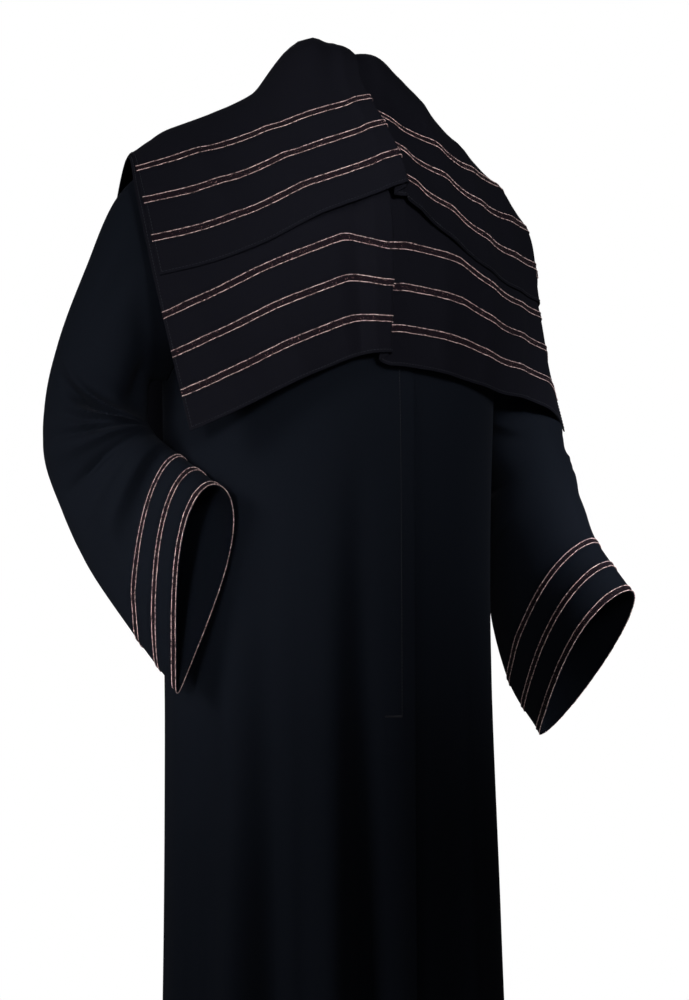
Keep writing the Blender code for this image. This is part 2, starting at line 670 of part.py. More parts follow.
def curve_through(knots):
    """A smooth curve through a few points, finely divided, and its length up to each point."""
    gaps = np.linalg.norm(np.diff(knots, axis=0), axis=1)**0.5
    places = np.concatenate([[0.0], np.cumsum(gaps)])
    fine = np.linspace(0, places[-1], CURVE_STEPS)
    curve = smooth_table(places, knots, fine)
    length = np.concatenate([[0.0], np.cumsum(np.linalg.norm(np.diff(curve, axis=0), axis=1))])
    knot_lengths = np.interp(places, fine, length)
    return curve, length, knot_lengths


def scarf_columns(pleat_w):
    """Place across the width, share of the step and rise above the surface, for each column."""
    rows = [(w, 0.0, 0.0) for w in SCARF_PLAIN_RIGHT]
    rows += [(pleat_w + across, share, rise) for across, share, rise in PLEAT]
    rows += [(w, 1.0, 0.0) for w in SCARF_PLAIN_LEFT]
    return rows


def scarf_grid(columns, from_upper):
    """The surface under the shayla, column by column, and the lengths at which its rows lie.

    Rows run from a hem over the crest to the back fold. The lower end starts at its own hem, and
    the upper end starts where that surface passes the upper hem.
    """
    edges = braid_distances(SCARF_BRAID_START, SCARF_BRAID_STEP, SCARF_BRAID_WIDTH).ravel()
    grid = []
    for w, share, _ in columns:
        curve, length, knots = curve_through(scarf_lines(w, share))
        upper = np.concatenate([[0.0], edges]) + knots[1]
        lower_edges = edges * min(1.0, (knots[1] - SHOWN_BELOW_UPPER) / edges[-1])
        spread = np.linspace(0, 1, SCARF_BACK_ROWS + 1)**SCARF_BACK_CROWDING
        start = upper[-1] + share * PLEAT_DROP
        beyond = start + (length[-1] - start) * spread[1:]
        places = np.concatenate([upper, beyond])
        if not from_upper:
            places = np.concatenate([[0.0], lower_edges, places])
        grid.append(np.stack([np.interp(places, length, curve[:, axis]) for axis in range(3)], axis=-1))
    return np.array(grid).transpose(1, 0, 2)


def outward(points, normals):
    """Turn the shayla's directions away from the wearer."""
    if np.einsum("ijk,ijk->", normals, points - np.array(WEARER_MIDDLE)) < 0:
        return -normals
    return normals


def scarf_base(pleat_w, from_upper):
    """The surface that one end lies on, and its outward directions."""
    columns = scarf_columns(pleat_w)
    base = scarf_grid(columns, from_upper)
    plain = [i for i, (_, share, rise) in enumerate(columns) if rise == 0 and share in (0.0, 1.0)]
    places = np.array([w for w, _, _ in columns])
    normals = outward(base[:, plain], grid_normals(base[:, plain], False))
    flat = smooth_table(places[plain], normals.transpose(1, 0, 2).reshape(len(plain), -1), places)
    normals = unit(flat.reshape(len(columns), -1, 3).transpose(1, 0, 2))
    return base, normals, columns


def scarf_end(pleat_w, from_upper):
    """Outer points and directions of one end of the shayla."""
    base, normals, columns = scarf_base(pleat_w, from_upper)
    rise = np.array([rise for _, _, rise in columns]) + SCARF_CLOTH
    places = np.array([w for w, _, _ in columns])
    if from_upper:
        puff = np.exp(-((places - (PLEAT_W + LOWER_PLEAT_W) / 2) / LAYER_PUFF_SPREAD)**2)
        rise = rise + LAYER_RISE + LAYER_PUFF * puff
    points = base + normals * rise[None, :, None]
    return points, outward(points, grid_normals(points, False))


def build_scarf(cloth, trim):
    """Both ends of the shayla, each with its braids."""
    ends = {"shayla_lower": scarf_end(LOWER_PLEAT_W, False), "shayla_upper": scarf_end(PLEAT_W, True)}
    for name, (points, normals) in ends.items():
        wall(name, points, normals, SCARF_CLOTH, False, cloth)
        for index in range(3):
            strip = slice(5 - 2 * index, 7 - 2 * index)
            braid(f"{name}_trim_{index + 1}", points[strip], normals[strip], False, trim)


def main():
    """The robe, then the shayla on it."""
    for obj in list(bpy.data.objects):
        bpy.data.objects.remove(obj, do_unlink=True)
    cloth = plain_material("black_crepe", CLOTH_COLOUR, 0.62)
    trim = plain_material("pink_braid", BRAID_COLOUR, 0.75)
    build_robe(cloth, trim)
    build_scarf(cloth, trim)


main()
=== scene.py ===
"""The looks of an abaya and its shayla: black crepe with its drape, creases, hems and stitching, and
the pink corded braids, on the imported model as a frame.

Metres, +Z up. +X is the wearer's left and -Y is the front. The origin is in the middle of the neck.
"""
import math

import bpy
import numpy as np
from mathutils import Euler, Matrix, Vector


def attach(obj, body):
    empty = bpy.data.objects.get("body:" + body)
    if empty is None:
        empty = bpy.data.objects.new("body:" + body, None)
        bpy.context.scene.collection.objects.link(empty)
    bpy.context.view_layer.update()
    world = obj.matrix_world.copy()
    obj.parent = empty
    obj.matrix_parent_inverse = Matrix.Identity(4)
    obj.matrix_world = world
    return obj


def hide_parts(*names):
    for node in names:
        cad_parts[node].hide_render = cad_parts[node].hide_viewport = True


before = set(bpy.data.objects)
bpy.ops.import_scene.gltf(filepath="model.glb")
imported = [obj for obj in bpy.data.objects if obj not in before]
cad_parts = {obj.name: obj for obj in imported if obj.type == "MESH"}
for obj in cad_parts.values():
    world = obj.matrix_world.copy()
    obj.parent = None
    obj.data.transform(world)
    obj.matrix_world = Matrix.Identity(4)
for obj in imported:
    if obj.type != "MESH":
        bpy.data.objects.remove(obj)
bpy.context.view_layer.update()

MILLIMETRES = 1000.0         # in a metre

# Cloth and seams
ROBE_CLOTH = 0.0011
SCARF_CLOTH = 0.0010
SEAM_GAP = 0.0003
LAP_GAP = 0.0026

# The robe
HEM_Z = -1.38
UNDERARM_Z = -0.38
SHOULDER_Z = -0.128
NECK_SIDE_Z = -0.026
NECK_FRONT_Z = -0.092
WEARER_MIDDLE = (0.0, 0.04, -0.30)
LEAN = 0.14                  # the wearer's right shoulder is held higher
LEAN_FULL_Z = -0.16
LEAN_NONE_Z = -0.60
LAP_EDGE_X = 0.034           # the right front ends this far past the centre
LAP_UNDER_X = -0.012         # and the left front passes under it to here
LAP_BLEND = math.radians(28)
LAP_BLEND_START = 0.12       # radians from the front centre
ARMHOLE_REACH = math.radians(28)
ARMHOLE_ROUNDING = 0.8       # below 1 the armhole widens sooner near its ends
NECK_SHARE = 0.4             # of the top edge, the rest being the shoulder seam
NECK_DIP = 1.6               # how late the neck's edge turns down to the front
FOLD_GROWTH = 0.45           # below 1 a fold is deep soon after it starts

# The trims
SLEEVE_BRAID_WIDTH = 0.008
SLEEVE_BRAID_STEP = 0.038
SLEEVE_BRAID_START = 0.0006
SCARF_BRAID_WIDTH = 0.009
SCARF_BRAID_STEP = 0.048
SCARF_BRAID_START = 0.041
SHOWN_BELOW_UPPER = 0.012    # the lower end's top braid stays this far below the upper hem
# Near the pleats the braids lie closer together: from where across the width, to where, by what share
# less and how much nearer to the hem, and then the share and the distance on the pleat's other side.
DRAWN_LOWER = (0.225, 0.285, 0.13, 0.000, 0.00, 0.002)
DRAWN_UPPER = (0.120, 0.300, 0.055, 0.006, -0.06, 0.016)
DRAWN_BEYOND = 0.42          # where across the width the other side's braids are even again

# The upper end's right edge lies this far inside the lower one's, up to this place across the width,
# and by these shares of it at each of the shayla's lines.
UPPER_INSET = 0.0085
INSET_END = 0.12
INSET_SHARES = (1.0, 1.0, 0.8, 0.6, 0.3, 0.0, 0.0)

# Sections of the robe's body: height, then half of the width, how far the front and the back stand
# from the origin, where the side seam is, how far the section has swayed sideways, and how pointed it
# is (below 1 it is squarer than an ellipse).
BODY = (
    (-0.026, 0.075, 0.044, 0.070, 0.012, 0.000, 1.00),
    (-0.072, 0.142, 0.0445, 0.088, 0.028, 0.000, 1.00),
    (-0.128, 0.218, 0.0525, 0.106, 0.038, 0.000, 1.00),
    (-0.168, 0.230, 0.076, 0.121, 0.040, 0.000, 1.00),
    (-0.210, 0.228, 0.092, 0.130, 0.040, -0.001, 1.00),
    (-0.380, 0.209, 0.119, 0.148, 0.042, -0.004, 0.95),
    (-0.600, 0.204, 0.124, 0.155, 0.044, -0.006, 0.92),
    (-1.000, 0.211, 0.128, 0.158, 0.045, 0.001, 0.92),
    (-1.380, 0.222, 0.136, 0.168, 0.045, 0.006, 0.92),
)

# Long folds of the skirt: angle from the front centre (degrees, + to the wearer's left), half of the
# angle that it takes, how far it stands out at the hem (- sinks in), and the height where it starts.
# The large folds come first, and then the finer ones.
FOLDS = (
    (-82, 9, 0.007, -0.5),
    (-66, 6, -0.005, -0.62),
    (-53, 7, 0.009, -0.55),
    (-39, 6, -0.011, -0.52),
    (-18, 8, 0.011, -0.46),
    (-5, 6, -0.014, -0.42),
    (24, 10, -0.006, -0.55),
    (48, 11, 0.007, -0.45),
    (74, 9, -0.007, -0.6),
    (100, 10, 0.008, -0.5),
    (124, 9, -0.009, -0.55),
    (146, 10, 0.009, -0.45),
    (168, 9, -0.01, -0.5),
    (190, 10, 0.009, -0.42),
    (212, 9, -0.009, -0.55),
    (234, 10, 0.008, -0.5),
    (256, 9, -0.006, -0.6),
    (-74, 3, -0.003, -0.7),
    (-53, 6, 0.006, -0.55),
    (-42, 5, -0.01, -0.55),
    (-38, 2, -0.003, -0.62),
    (-28, 3, -0.0022, -0.6),
    (-18, 5, 0.006, -0.46),
    (-8, 5, -0.012, -0.42),
    (34, 4, 0.003, -0.6),
    (62, 4, -0.003, -0.7),
    (88, 4, 0.003, -0.65),
    (112, 4.5, -0.0035, -0.6),
    (135, 4, 0.004, -0.55),
    (157, 4.5, -0.004, -0.6),
    (179, 4, 0.0035, -0.5),
    (201, 4.5, -0.004, -0.55),
    (223, 4, 0.0035, -0.6),
    (246, 4.5, -0.0035, -0.6),
    (266, 4, 0.003, -0.7),
)

# Sections of each sleeve, from the shoulder to the cuff: x, y, z of the crook, x, y, z of the fall and
# the half widths outside and inside the arm, in millimetres, and how much fuller each of the two is near
# the crook than near the fall.
# The crook is the line along the front of the arm, from the underarm to the top of the wrist. The fall
# is the line from the shoulder round the elbow to the low point of the cuff.
SLEEVE_RIGHT = (
    (-230, 38, -370, -272, 50, -150, 60, 60, 0.00, 0.00),
    (-237, 28, -382, -306, 66, -235, 64, 62, 0.00, 0.00),
    (-240, 20, -396, -336, 78, -325, 62, 62, 0.10, 0.10),
    (-246, 14, -412, -354, 80, -415, 60, 58, 0.20, 0.20),
    (-244, 4, -426, -342, 56, -510, 58, 48, 0.35, 0.35),
    (-238, -8, -438, -310, 28, -592, 53, 38, 0.32, 0.32),
    (-226, -25, -452, -268, -3, -664, 44, 30, 0.20, 0.20),
    (-212, -106, -489, -241, -64, -727, 29, 34, 0.70, 0.70),
)
SLEEVE_LEFT = (
    (216, 36, -408, 254, 55, -215, 36, 50, 0.00, 0.00),
    (232, 26, -418, 277, 74, -300, 34, 49, 0.00, 0.00),
    (254, 18, -430, 295, 104, -390, 48, 51, 0.08, 0.10),
    (276, 4, -450, 296, 134, -475, 48, 55, 0.12, 0.20),
    (296, -2, -482, 292, 154, -560, 50, 54, 0.18, 0.25),
    (311, -6, -515, 290, 162, -650, 48, 50, 0.30, 0.30),
    (328, -12, -551, 302, 149, -732, 46, 46, 0.20, 0.45),
    (357, -60, -618, 323, 100, -805, 43, 41, 0.15, 0.60),
)

# Creases of the sleeves: how far down the sleeve (0 shoulder, 1 cuff), angle round it (0 at the
# crook, 90 in front, 180 at the fall, 270 behind), half lengths both ways, slant and rise. The broad
# creases come first, and then the finer ones.
CREASES_RIGHT = (
    (0.4, 80, 0.045, 70, 0.03, -0.009),
    (0.5, 85, 0.04, 75, 0.02, 0.008),
    (0.6, 80, 0.04, 65, 0.0, -0.009),
    (0.7, 90, 0.04, 60, -0.02, 0.006),
    (0.45, 280, 0.05, 60, 0.02, -0.008),
    (0.6, 275, 0.05, 60, 0.0, 0.006),
    (0.2, 110, 0.11, 13, 0.02, -0.006),
    (0.26, 24, 0.17, 30, 0.0, -0.024),
    (0.415, 85, 0.012, 34, -0.036, 0.011),
    (0.44, 84, 0.01, 34, -0.036, -0.017),
    (0.463, 82, 0.009, 34, -0.03, 0.008),
    (0.482, 82, 0.009, 34, -0.024, -0.007),
    (0.506, 85, 0.01, 40, -0.012, -0.012),
    (0.535, 85, 0.012, 40, -0.008, 0.006),
    (0.585, 100, 0.01, 42, 0.0, -0.0065),
    (0.645, 105, 0.012, 45, 0.008, -0.003),
    (0.78, 110, 0.06, 14, 0.03, 0.003),
    (0.84, 140, 0.07, 16, 0.02, -0.003),
    (0.3, 250, 0.05, 30, 0.02, 0.003),
    (0.46, 265, 0.012, 50, 0.01, -0.0045),
    (0.52, 260, 0.012, 50, 0.01, 0.0035),
    (0.66, 265, 0.012, 45, 0.0, -0.004),
    (0.82, 255, 0.06, 16, 0.02, 0.003),
)
CREASES_LEFT = (
    (0.42, 70, 0.045, 36, 0.02, -0.002),
    (0.52, 72, 0.045, 36, 0.0, 0.002),
    (0.62, 70, 0.045, 36, 0.0, -0.006),
    (0.48, 285, 0.05, 34, 0.02, -0.006),
    (0.6, 280, 0.05, 34, 0.0, 0.005),
    (0.22, 100, 0.1, 16, 0.02, -0.0025),
    (0.37, 85, 0.014, 26, -0.01, -0.001),
    (0.45, 75, 0.012, 26, -0.008, 0.0028),
    (0.5, 77, 0.011, 26, -0.006, -0.0036),
    (0.57, 85, 0.012, 24, 0.0, 0.003),
    (0.66, 90, 0.012, 24, 0.006, -0.003),
    (0.8, 110, 0.06, 14, 0.02, 0.0025),
    (0.32, 255, 0.05, 30, 0.02, 0.003),
    (0.5, 270, 0.012, 26, 0.01, -0.004),
    (0.62, 268, 0.012, 26, 0.0, -0.0035),
    (0.82, 250, 0.06, 16, 0.02, 0.003),
)

# The shayla lies on a surface through lines that run across its width from the wearer's right edge: the
# lower hem, the upper hem, the front break, the crest, the back break, the upper back and the fold. Each
# has x, y, z in millimetres at the same places across (given in metres), up to the pleat and then beyond
# it, where the cloth starts again a little lower.
PLEAT_W = 0.31
SCARF_W_RIGHT = (0.0, 0.065, 0.13, 0.195, 0.26, PLEAT_W)
SCARF_W_LEFT = (PLEAT_W, 0.35, 0.41, 0.48, 0.55, 0.62, 0.69)
SCARF_RIGHT = (
    ((-244.5, -110, -428), (-190, -117, -405), (-136, -124, -378), (-84, -129, -355),
     (-32, -132, -337), (11, -132, -335)),
    ((-263, -45, -250), (-211, -62, -237), (-151, -83, -215), (-92.5, -110, -183),
     (-37, -122, -161), (16, -125, -144)),
    ((-270, -6, -150), (-213, -18, -118), (-154, -28, -96), (-105, -29, -66),
     (-55, -25, -20), (1, -25, -18)),
    ((-259, 48, -103), (-213, 42, -73), (-155, 35, -48), (-102, 22, -23),
     (-50, 7, 29), (4, 0, 15)),
    ((-255, 100, -160), (-213, 98, -118), (-155, 90, -88), (-102, 75, -50),
     (-50, 52, 6), (0, 50, 0)),
    ((-252, 158, -330), (-206, 163, -280), (-148, 160, -240), (-94, 156, -205),
     (-48, 152, -170), (-10, 152, -160)),
    ((-205, 186, -615), (-165, 190, -600), (-125, 188, -585), (-82, 184, -572),
     (-38, 180, -565), (-4, 180, -562)),
)
SCARF_LEFT = (
    ((11, -132, -350), (52, -127, -355), (110, -110, -366), (172, -80, -379),
     (229, -39, -384), (290, 4, -400), (327, 47, -420)),
    ((16, -125, -158), (44, -122, -180), (100, -107, -210), (160, -80, -239),
     (212, -44, -254), (252, -14, -263), (275, 28, -271)),
    ((1, -25, -20), (34, -26, -32), (86, -29, -52), (138, -25, -88),
     (190, -12, -121), (240, 0, -168), (272, 24, -222)),
    ((4, 0, 15), (36, 0, 19), (84, 9, -9), (130, 17, -53),
     (180, 26, -97), (230, 38, -138), (267, 52, -180)),
    ((0, 50, -1), (34, 53, -6), (84, 78, -52), (130, 92, -98),
     (180, 100, -141), (231, 104, -183), (268, 108, -222)),
    ((-10, 152, -160), (26, 154, -170), (74, 158, -205), (124, 162, -250),
     (174, 166, -300), (222, 170, -350), (266, 172, -395)),
    ((-4, 180, -562), (32, 182, -567), (82, 186, -585), (132, 192, -607),
     (178, 196, -632), (222, 198, -656), (262, 196, -676)),
)

# The pleat of each end of the shayla: place along the width from the pleat's edge, share of the step
# down to the cloth on the other side, and how far the cloth stands above the surface.
PLEAT = (
    (-0.0300, 0.00, 0.0036),
    (-0.0180, 0.00, 0.0078),
    (0.0000, 0.00, 0.0080),
    (0.0017, 0.10, 0.0052),
    (0.0000, 0.20, 0.0024),
    (-0.0120, 0.50, 0.0024),
    (-0.0132, 0.55, 0.0012),
    (-0.0120, 0.60, 0.0000),
    (0.0060, 1.00, 0.0000),
)
LOWER_PLEAT_W = PLEAT_W - 0.020

# How far the upper end stands off the lower one, all over and round the pleats.
LAYER_RISE = 0.0020
LAYER_PUFF = 0.0104
LAYER_PUFF_SPREAD = 0.085

# Soft ridges of the shayla's ends: place across it, distance from the lower hem, half lengths both
# ways, how far the ridge moves across for each metre from the hem, and its rise.
LOWER_DRAPE = (
    (0.060, 0.070, 0.020, 0.110, -0.20, 0.0032),
    (0.150, 0.050, 0.018, 0.130, -0.25, 0.0030),
    (0.225, 0.060, 0.016, 0.120, -0.10, 0.0026),
    (0.375, 0.060, 0.020, 0.130, 0.10, 0.0030),
    (0.455, 0.070, 0.018, 0.140, 0.20, 0.0034),
    (0.530, 0.060, 0.020, 0.120, 0.30, 0.0034),
    (0.610, 0.070, 0.018, 0.120, 0.25, 0.0030),
    (0.262, 0.412, 0.011, 0.045, 0.00, 0.0060),
)
UPPER_DRAPE = (
    (0.095, 0.270, 0.018, 0.120, -0.30, 0.0030),
    (0.190, 0.260, 0.016, 0.110, -0.15, 0.0026),
    (0.345, 0.290, 0.012, 0.110, 0.05, 0.0020),
    (0.415, 0.280, 0.016, 0.120, 0.15, 0.0034),
    (0.490, 0.270, 0.018, 0.120, 0.25, 0.0030),
    (0.570, 0.250, 0.018, 0.110, 0.30, 0.0034),
    (0.640, 0.260, 0.014, 0.110, 0.20, 0.0026),
)

# Folds of the doubled shayla down the wearer's back: place across it at the crest and at the fold,
# half of its width, and its rise.
BACK_DRAPE = (
    (0.080, 0.050, 0.020, 0.0045),
    (0.160, 0.140, 0.022, 0.0050),
    (0.240, 0.235, 0.020, 0.0040),
    (0.380, 0.390, 0.022, 0.0045),
    (0.460, 0.480, 0.020, 0.0050),
    (0.540, 0.560, 0.022, 0.0045),
    (0.620, 0.640, 0.018, 0.0040),
)

# Finer mesh sizes
SKIRT_ROWS = 84
ARMHOLE_ROWS = 60
BACK_COLUMNS = 140
FRONT_COLUMNS = 84
SLEEVE_ROWS = 190
SCARF_WIDTH = SCARF_W_LEFT[-1]
HEM_ROWS = (0.0008, 0.0034, 0.0042, 0.0054)
HEM_CLEAR = 0.011            # the even columns start this far from the shayla's edges
PLEAT_ZONE = (0.250, 0.330)  # and leave out the pleat, which has its own
EVEN_COLUMNS = (44, 62)      # right of the pleat and left of it
SCARF_PLAIN_RIGHT = np.concatenate([[0.0], HEM_ROWS, np.linspace(HEM_CLEAR, PLEAT_ZONE[0], EVEN_COLUMNS[0])])
SCARF_PLAIN_LEFT = np.concatenate([np.linspace(PLEAT_ZONE[1], SCARF_WIDTH - HEM_CLEAR, EVEN_COLUMNS[1]),
                                   SCARF_WIDTH - np.array(HEM_ROWS[::-1]), [SCARF_WIDTH]])
PLEAT_STEPS = 5
ROWS_TO_BRAID = 8
ROWS_UNDER_UPPER = 18
ROWS_TO_FOLD = 62
TURN_ROWS = 7
SLEEVE_STEPS = 481
CURVE_STEPS = 500
SHARP_ANGLE = math.radians(50)   # a sharper edge isn't shaded smooth
BRAID_ROW_CLEARANCE = 0.3    # an even row nearer to a braid's row than this share of a step is left out

# Sewing
HEM_THICKER = 0.0007
ROBE_HEM_DEPTH = 0.020
ROBE_HEM_STEP = 0.0015
STITCH = 0.0028
STITCH_GAP = 0.0012
THREAD = 0.00028
THREAD_ARCH = 0.00022
PLACKET_WIDTH = 0.018
PLACKET_TOP_Z = -0.300
PLACKET_END_Z = -0.758
BAR_TACK = 0.020
BAR_TACK_STEP = 0.0011
PLACKET_POINTS = 60
# A stitch's rings: share of its length, share of the arch's height, and thickness.
THREAD_RINGS = ((0.0, 0.0, 0.6), (0.3, 1.0, 1.0), (0.7, 1.0, 1.0), (1.0, 0.0, 0.6))

# Braids
CORD_RADIUS = 0.00046
CORD_SHARES = (0.06, 0.94)
CUFF_CORDS = (-0.03, 0.94)   # the cuff's outermost cord covers the cloth's edge
CORD_STEP = 0.0011
CORD_SIDES = 8
CORD_TWIST = 0.0054          # length of one full turn
CORD_LOBES = 0.18
CORD_WANDER = 0.00030
TAPE_STEP = 0.0012
TAPE_COLUMNS = 8
TAPE_THICKNESS = 0.0005
TAPE_LUMPS = 0.00030
BRAID_LIFT = 0.00025
TAPE_WAVES = (0.0041, 0.0067, 0.0113)
CORD_WAVES = (0.013, 0.029, 0.061)
CUFF_PHASE_STEP = 1.3        # so that no two braids are uneven in the same places
SHAYLA_PHASE_STEP = 3.1

# The materials: name, finish (roughness, specular, sheen and its roughness and tint), a colour or stops of
# it, the spots that the stops follow, and relief. Spots and grain have a scale, detail and roughness.
CREPE_SHEEN = (0.02, 0.010, 0.45, (0.62, 0.66, 0.80))
CREPE_PATCHES = (3, 2, 0.5)
TAPE_FLECKS = (620, 2, 0.6)
MATT = (0.2, 0.0, 0.5, (1, 1, 1))
FABRICS = {
    "crepe": ("black_crepe_cloth", (0.85, *CREPE_SHEEN),
              ((0.20, (0.0032, 0.0041, 0.0064)), (0.80, (0.0042, 0.0053, 0.0082))),
              CREPE_PATCHES, ("UV", (1500, 3, 0.6), 0.30, 0.00025)),
    "shayla": ("black_shayla_cloth", (0.82, *CREPE_SHEEN),
               ((0.20, (0.0038, 0.0038, 0.0058)), (0.80, (0.0048, 0.0049, 0.0074))),
               CREPE_PATCHES, ("UV", (1900, 3, 0.6), 0.30, 0.00025)),
    "tape": ("braid_tape", (0.9, 0.05, 0.02, 0.5, (0.8, 0.7, 0.7)),
             ((0.0, (0.006, 0.004, 0.006)), (0.57, (0.005, 0.003, 0.005)), (0.66, (0.020, 0.009, 0.011)),
              (0.71, (0.26, 0.15, 0.15)), (0.78, (0.04, 0.03, 0.04))),
             TAPE_FLECKS, ("Object", TAPE_FLECKS, 0.4, 0.0003)),
    "cord": ("braid_cord", (0.75, 0.3, 0.2, 0.5, (1.0, 0.9, 0.9)),
             ((0.36, (0.030, 0.015, 0.018)), (0.44, (0.22, 0.14, 0.14)), (0.53, (0.50, 0.34, 0.33)),
              (0.68, (0.68, 0.50, 0.48))), (260, 3, 0.65)),
    "thread": ("black_thread", (0.6, *MATT), (0.006, 0.006, 0.009)),
    "shayla_thread": ("grey_thread", (0.6, *MATT), (0.017, 0.018, 0.024)),
}
PAPER = ("paper", (0.9, *MATT), (0.86, 0.86, 0.86))

# The view
SKY_LIGHT = 0.06             # what the white surroundings give as light, out of 1 as they look
AZIMUTH = math.radians(-25)
DISTANCE = 3.6
TARGET_Z = -0.506
FOCAL_LENGTH = 108
SENSOR = 36
FLOOR_Z = -1.43
FLOOR_HALF = 1.25            # so small that the camera's level view doesn't meet it
# Lights: name, place, the point that it is turned to, width, watts, spread in degrees and colour.
LIGHTS = (
    ("left", (-3.0, -1.0, 0.6), (0, 0, -0.6), 0.8, 68, 180, (1.0, 0.99, 0.98)),
    ("back", (1.4, 3.0, 0.4), (0, 0, -0.5), 1.2, 45, 180, (1.0, 1.0, 1.0)),
    ("forearm", (-1.9, -2.4, -0.2), (-0.34, 0, -0.60), 0.4, 0.75, 14, (1.0, 0.99, 0.98)),
    ("upper_front", (-0.4, -2.4, 0.4), (0.16, 0, -0.16), 0.6, 2.0, 26, (1.0, 1.0, 1.0)),
    ("right", (1.5, -2.6, 0.0), (0.42, 0, -0.56), 0.3, 0.9, 11, (0.96, 0.98, 1.0)),
)


def smooth_table(places, rows, at, steady=False):
    """Rows of a table at other places, on a smooth curve through its own rows.

    A steady curve never goes beyond the two rows on either side of it.
    """
    places = np.asarray(places, float)
    rows = np.asarray(rows, float)
    at = np.clip(np.asarray(at, float), places[0], places[-1])
    steps = np.diff(places)
    slopes = np.diff(rows, axis=0) / steps[:, None]
    before, after = steps[:-1, None], steps[1:, None]
    middle = (slopes[:-1] * after + slopes[1:] * before) / (before + after)
    if steady:
        same_way = slopes[:-1] * slopes[1:] > 0
        total = np.where(same_way, slopes[:-1] + slopes[1:], 1.0)
        middle = np.where(same_way, 2 * slopes[:-1] * slopes[1:] / total, 0.0)
    tangents = np.vstack([slopes[:1], middle, slopes[-1:]])
    low = np.clip(np.searchsorted(places, at, side="right") - 1, 0, len(steps) - 1)
    step = steps[low][..., None]
    t = ((at - places[low]) / steps[low])[..., None]
    return ((2 * t**3 - 3 * t**2 + 1) * rows[low] + (t**3 - 2 * t**2 + t) * step * tangents[low]
            + (3 * t**2 - 2 * t**3) * rows[low + 1] + (t**3 - t**2) * step * tangents[low + 1])


def fade(value, start, end):
    """0 before start, 1 after end, and smooth between them."""
    t = np.clip((value - start) / (end - start), 0.0, 1.0)
    return t * t * (3 - 2 * t)


def signed_power(value, power):
    """A power that keeps the sign of its value."""
    return np.sign(value) * np.abs(value)**power


def unit(vectors):
    """The same directions with a length of 1."""
    return vectors / np.maximum(np.linalg.norm(vectors, axis=-1, keepdims=True), 1e-12)


def opposed(directions, others):
    """Whether directions point against others on the whole."""
    return np.sum(directions * others) < 0


def distances(line):
    """How far along a line each of its points lies."""
    return np.concatenate([[0.0], np.cumsum(np.linalg.norm(np.diff(line, axis=0), axis=-1))])


def body_sizes(z):
    """The columns of BODY at the given heights, as arrays."""
    rows = np.array(BODY)[::-1]
    table = smooth_table(rows[:, 0], rows[:, 1:], z, steady=True)
    return [table[..., column] for column in range(table.shape[-1])]


def body_points(angle, z):
    """The robe's outer surface, at an angle round it from the front centre and a height."""
    angle = np.asarray(angle, float)
    z = np.asarray(z, float)
    half, front, back, side_y, sway, pointed = body_sizes(z)
    depth = np.where(np.cos(angle) > 0, front + side_y, back - side_y)
    out = np.zeros_like(z)
    for fold_angle, spread, rise, top in FOLDS:
        turn = np.degrees(angle) - fold_angle
        turn = (turn + 180) % 360 - 180
        out = out + rise * np.exp(-(turn / spread)**2) * fade(-z, -top, -HEM_Z)**FOLD_GROWTH
    x = half * signed_power(np.sin(angle), pointed)
    y = -depth * signed_power(np.cos(angle), pointed)
    stretch = 1 + out / np.maximum(np.hypot(x, y), 0.02)
    lift = -LEAN * x * (1 - fade(-z, -LEAN_FULL_Z, -LEAN_NONE_Z))
    return np.stack([sway + x * stretch, side_y + y * stretch, z + lift], axis=-1)


def body_normals(angle, z):
    """Outward directions of the robe's surface."""
    step = 1e-4
    round_ = body_points(angle + step, z) - body_points(angle - step, z)
    high = np.minimum(z + step, BODY[0][0])
    up = body_points(angle, high) - body_points(angle, high - 2 * step)
    return unit(np.cross(round_, up))


def angle_at_x(x, z):
    """The angle at which the front surface has the given x."""
    half, _, _, _, sway, pointed = body_sizes(z)
    return np.arcsin(signed_power((x - sway) / half, 1 / pointed))


def armhole_shares(rows):
    """Places from the underarm to the shoulder, closer together near both ends."""
    even = np.linspace(0, 1, rows + 1)
    return 0.5 * even + 0.25 * (1 - np.cos(math.pi * even))


def pairs(angles, heights):
    """(angle, height) pairs from numbers or arrays."""
    return np.stack(np.broadcast_arrays(np.asarray(angles, float), heights), axis=-1)


def patch(bottom, top, start, end, up, across):
    """A grid that fills in four edges, each a row of (angle, height) pairs at shares up or across."""
    v, u = up[:, None, None], across[None, :, None]
    corners = (1 - v) * ((1 - u) * bottom[0] + u * bottom[-1]) + v * ((1 - u) * top[0] + u * top[-1])
    return (1 - v) * bottom + v * top + (1 - u) * start[:, None] + u * end[:, None] - corners


def armhole(share, side, front):
    """Angle and height along half of an armhole, from the underarm to the shoulder."""
    reach = ARMHOLE_REACH * np.sin(math.pi * share)**ARMHOLE_ROUNDING
    angle = side * (math.pi / 2 - reach if front else math.pi / 2 + reach)
    return pairs(angle, UNDERARM_Z + (SHOULDER_Z - UNDERARM_Z) * share)


def top_edge(share, side, start_angle, start_z):
    """The neck edge from the middle of the garment, then the shoulder seam out to the shoulder."""
    middle = side * math.pi / 2
    along_neck = np.clip(share / NECK_SHARE, 0, 1)
    along_seam = np.clip((share - NECK_SHARE) / (1 - NECK_SHARE), 0, 1)
    neck_angle = start_angle + (middle - start_angle) * along_neck
    neck_z = NECK_SIDE_Z + (start_z - NECK_SIDE_Z) * (1 - along_neck**NECK_DIP)
    seam_z = NECK_SIDE_Z + (SHOULDER_Z - NECK_SIDE_Z) * along_seam
    on_neck = share <= NECK_SHARE
    return pairs(np.where(on_neck, neck_angle, middle), np.where(on_neck, neck_z, seam_z))


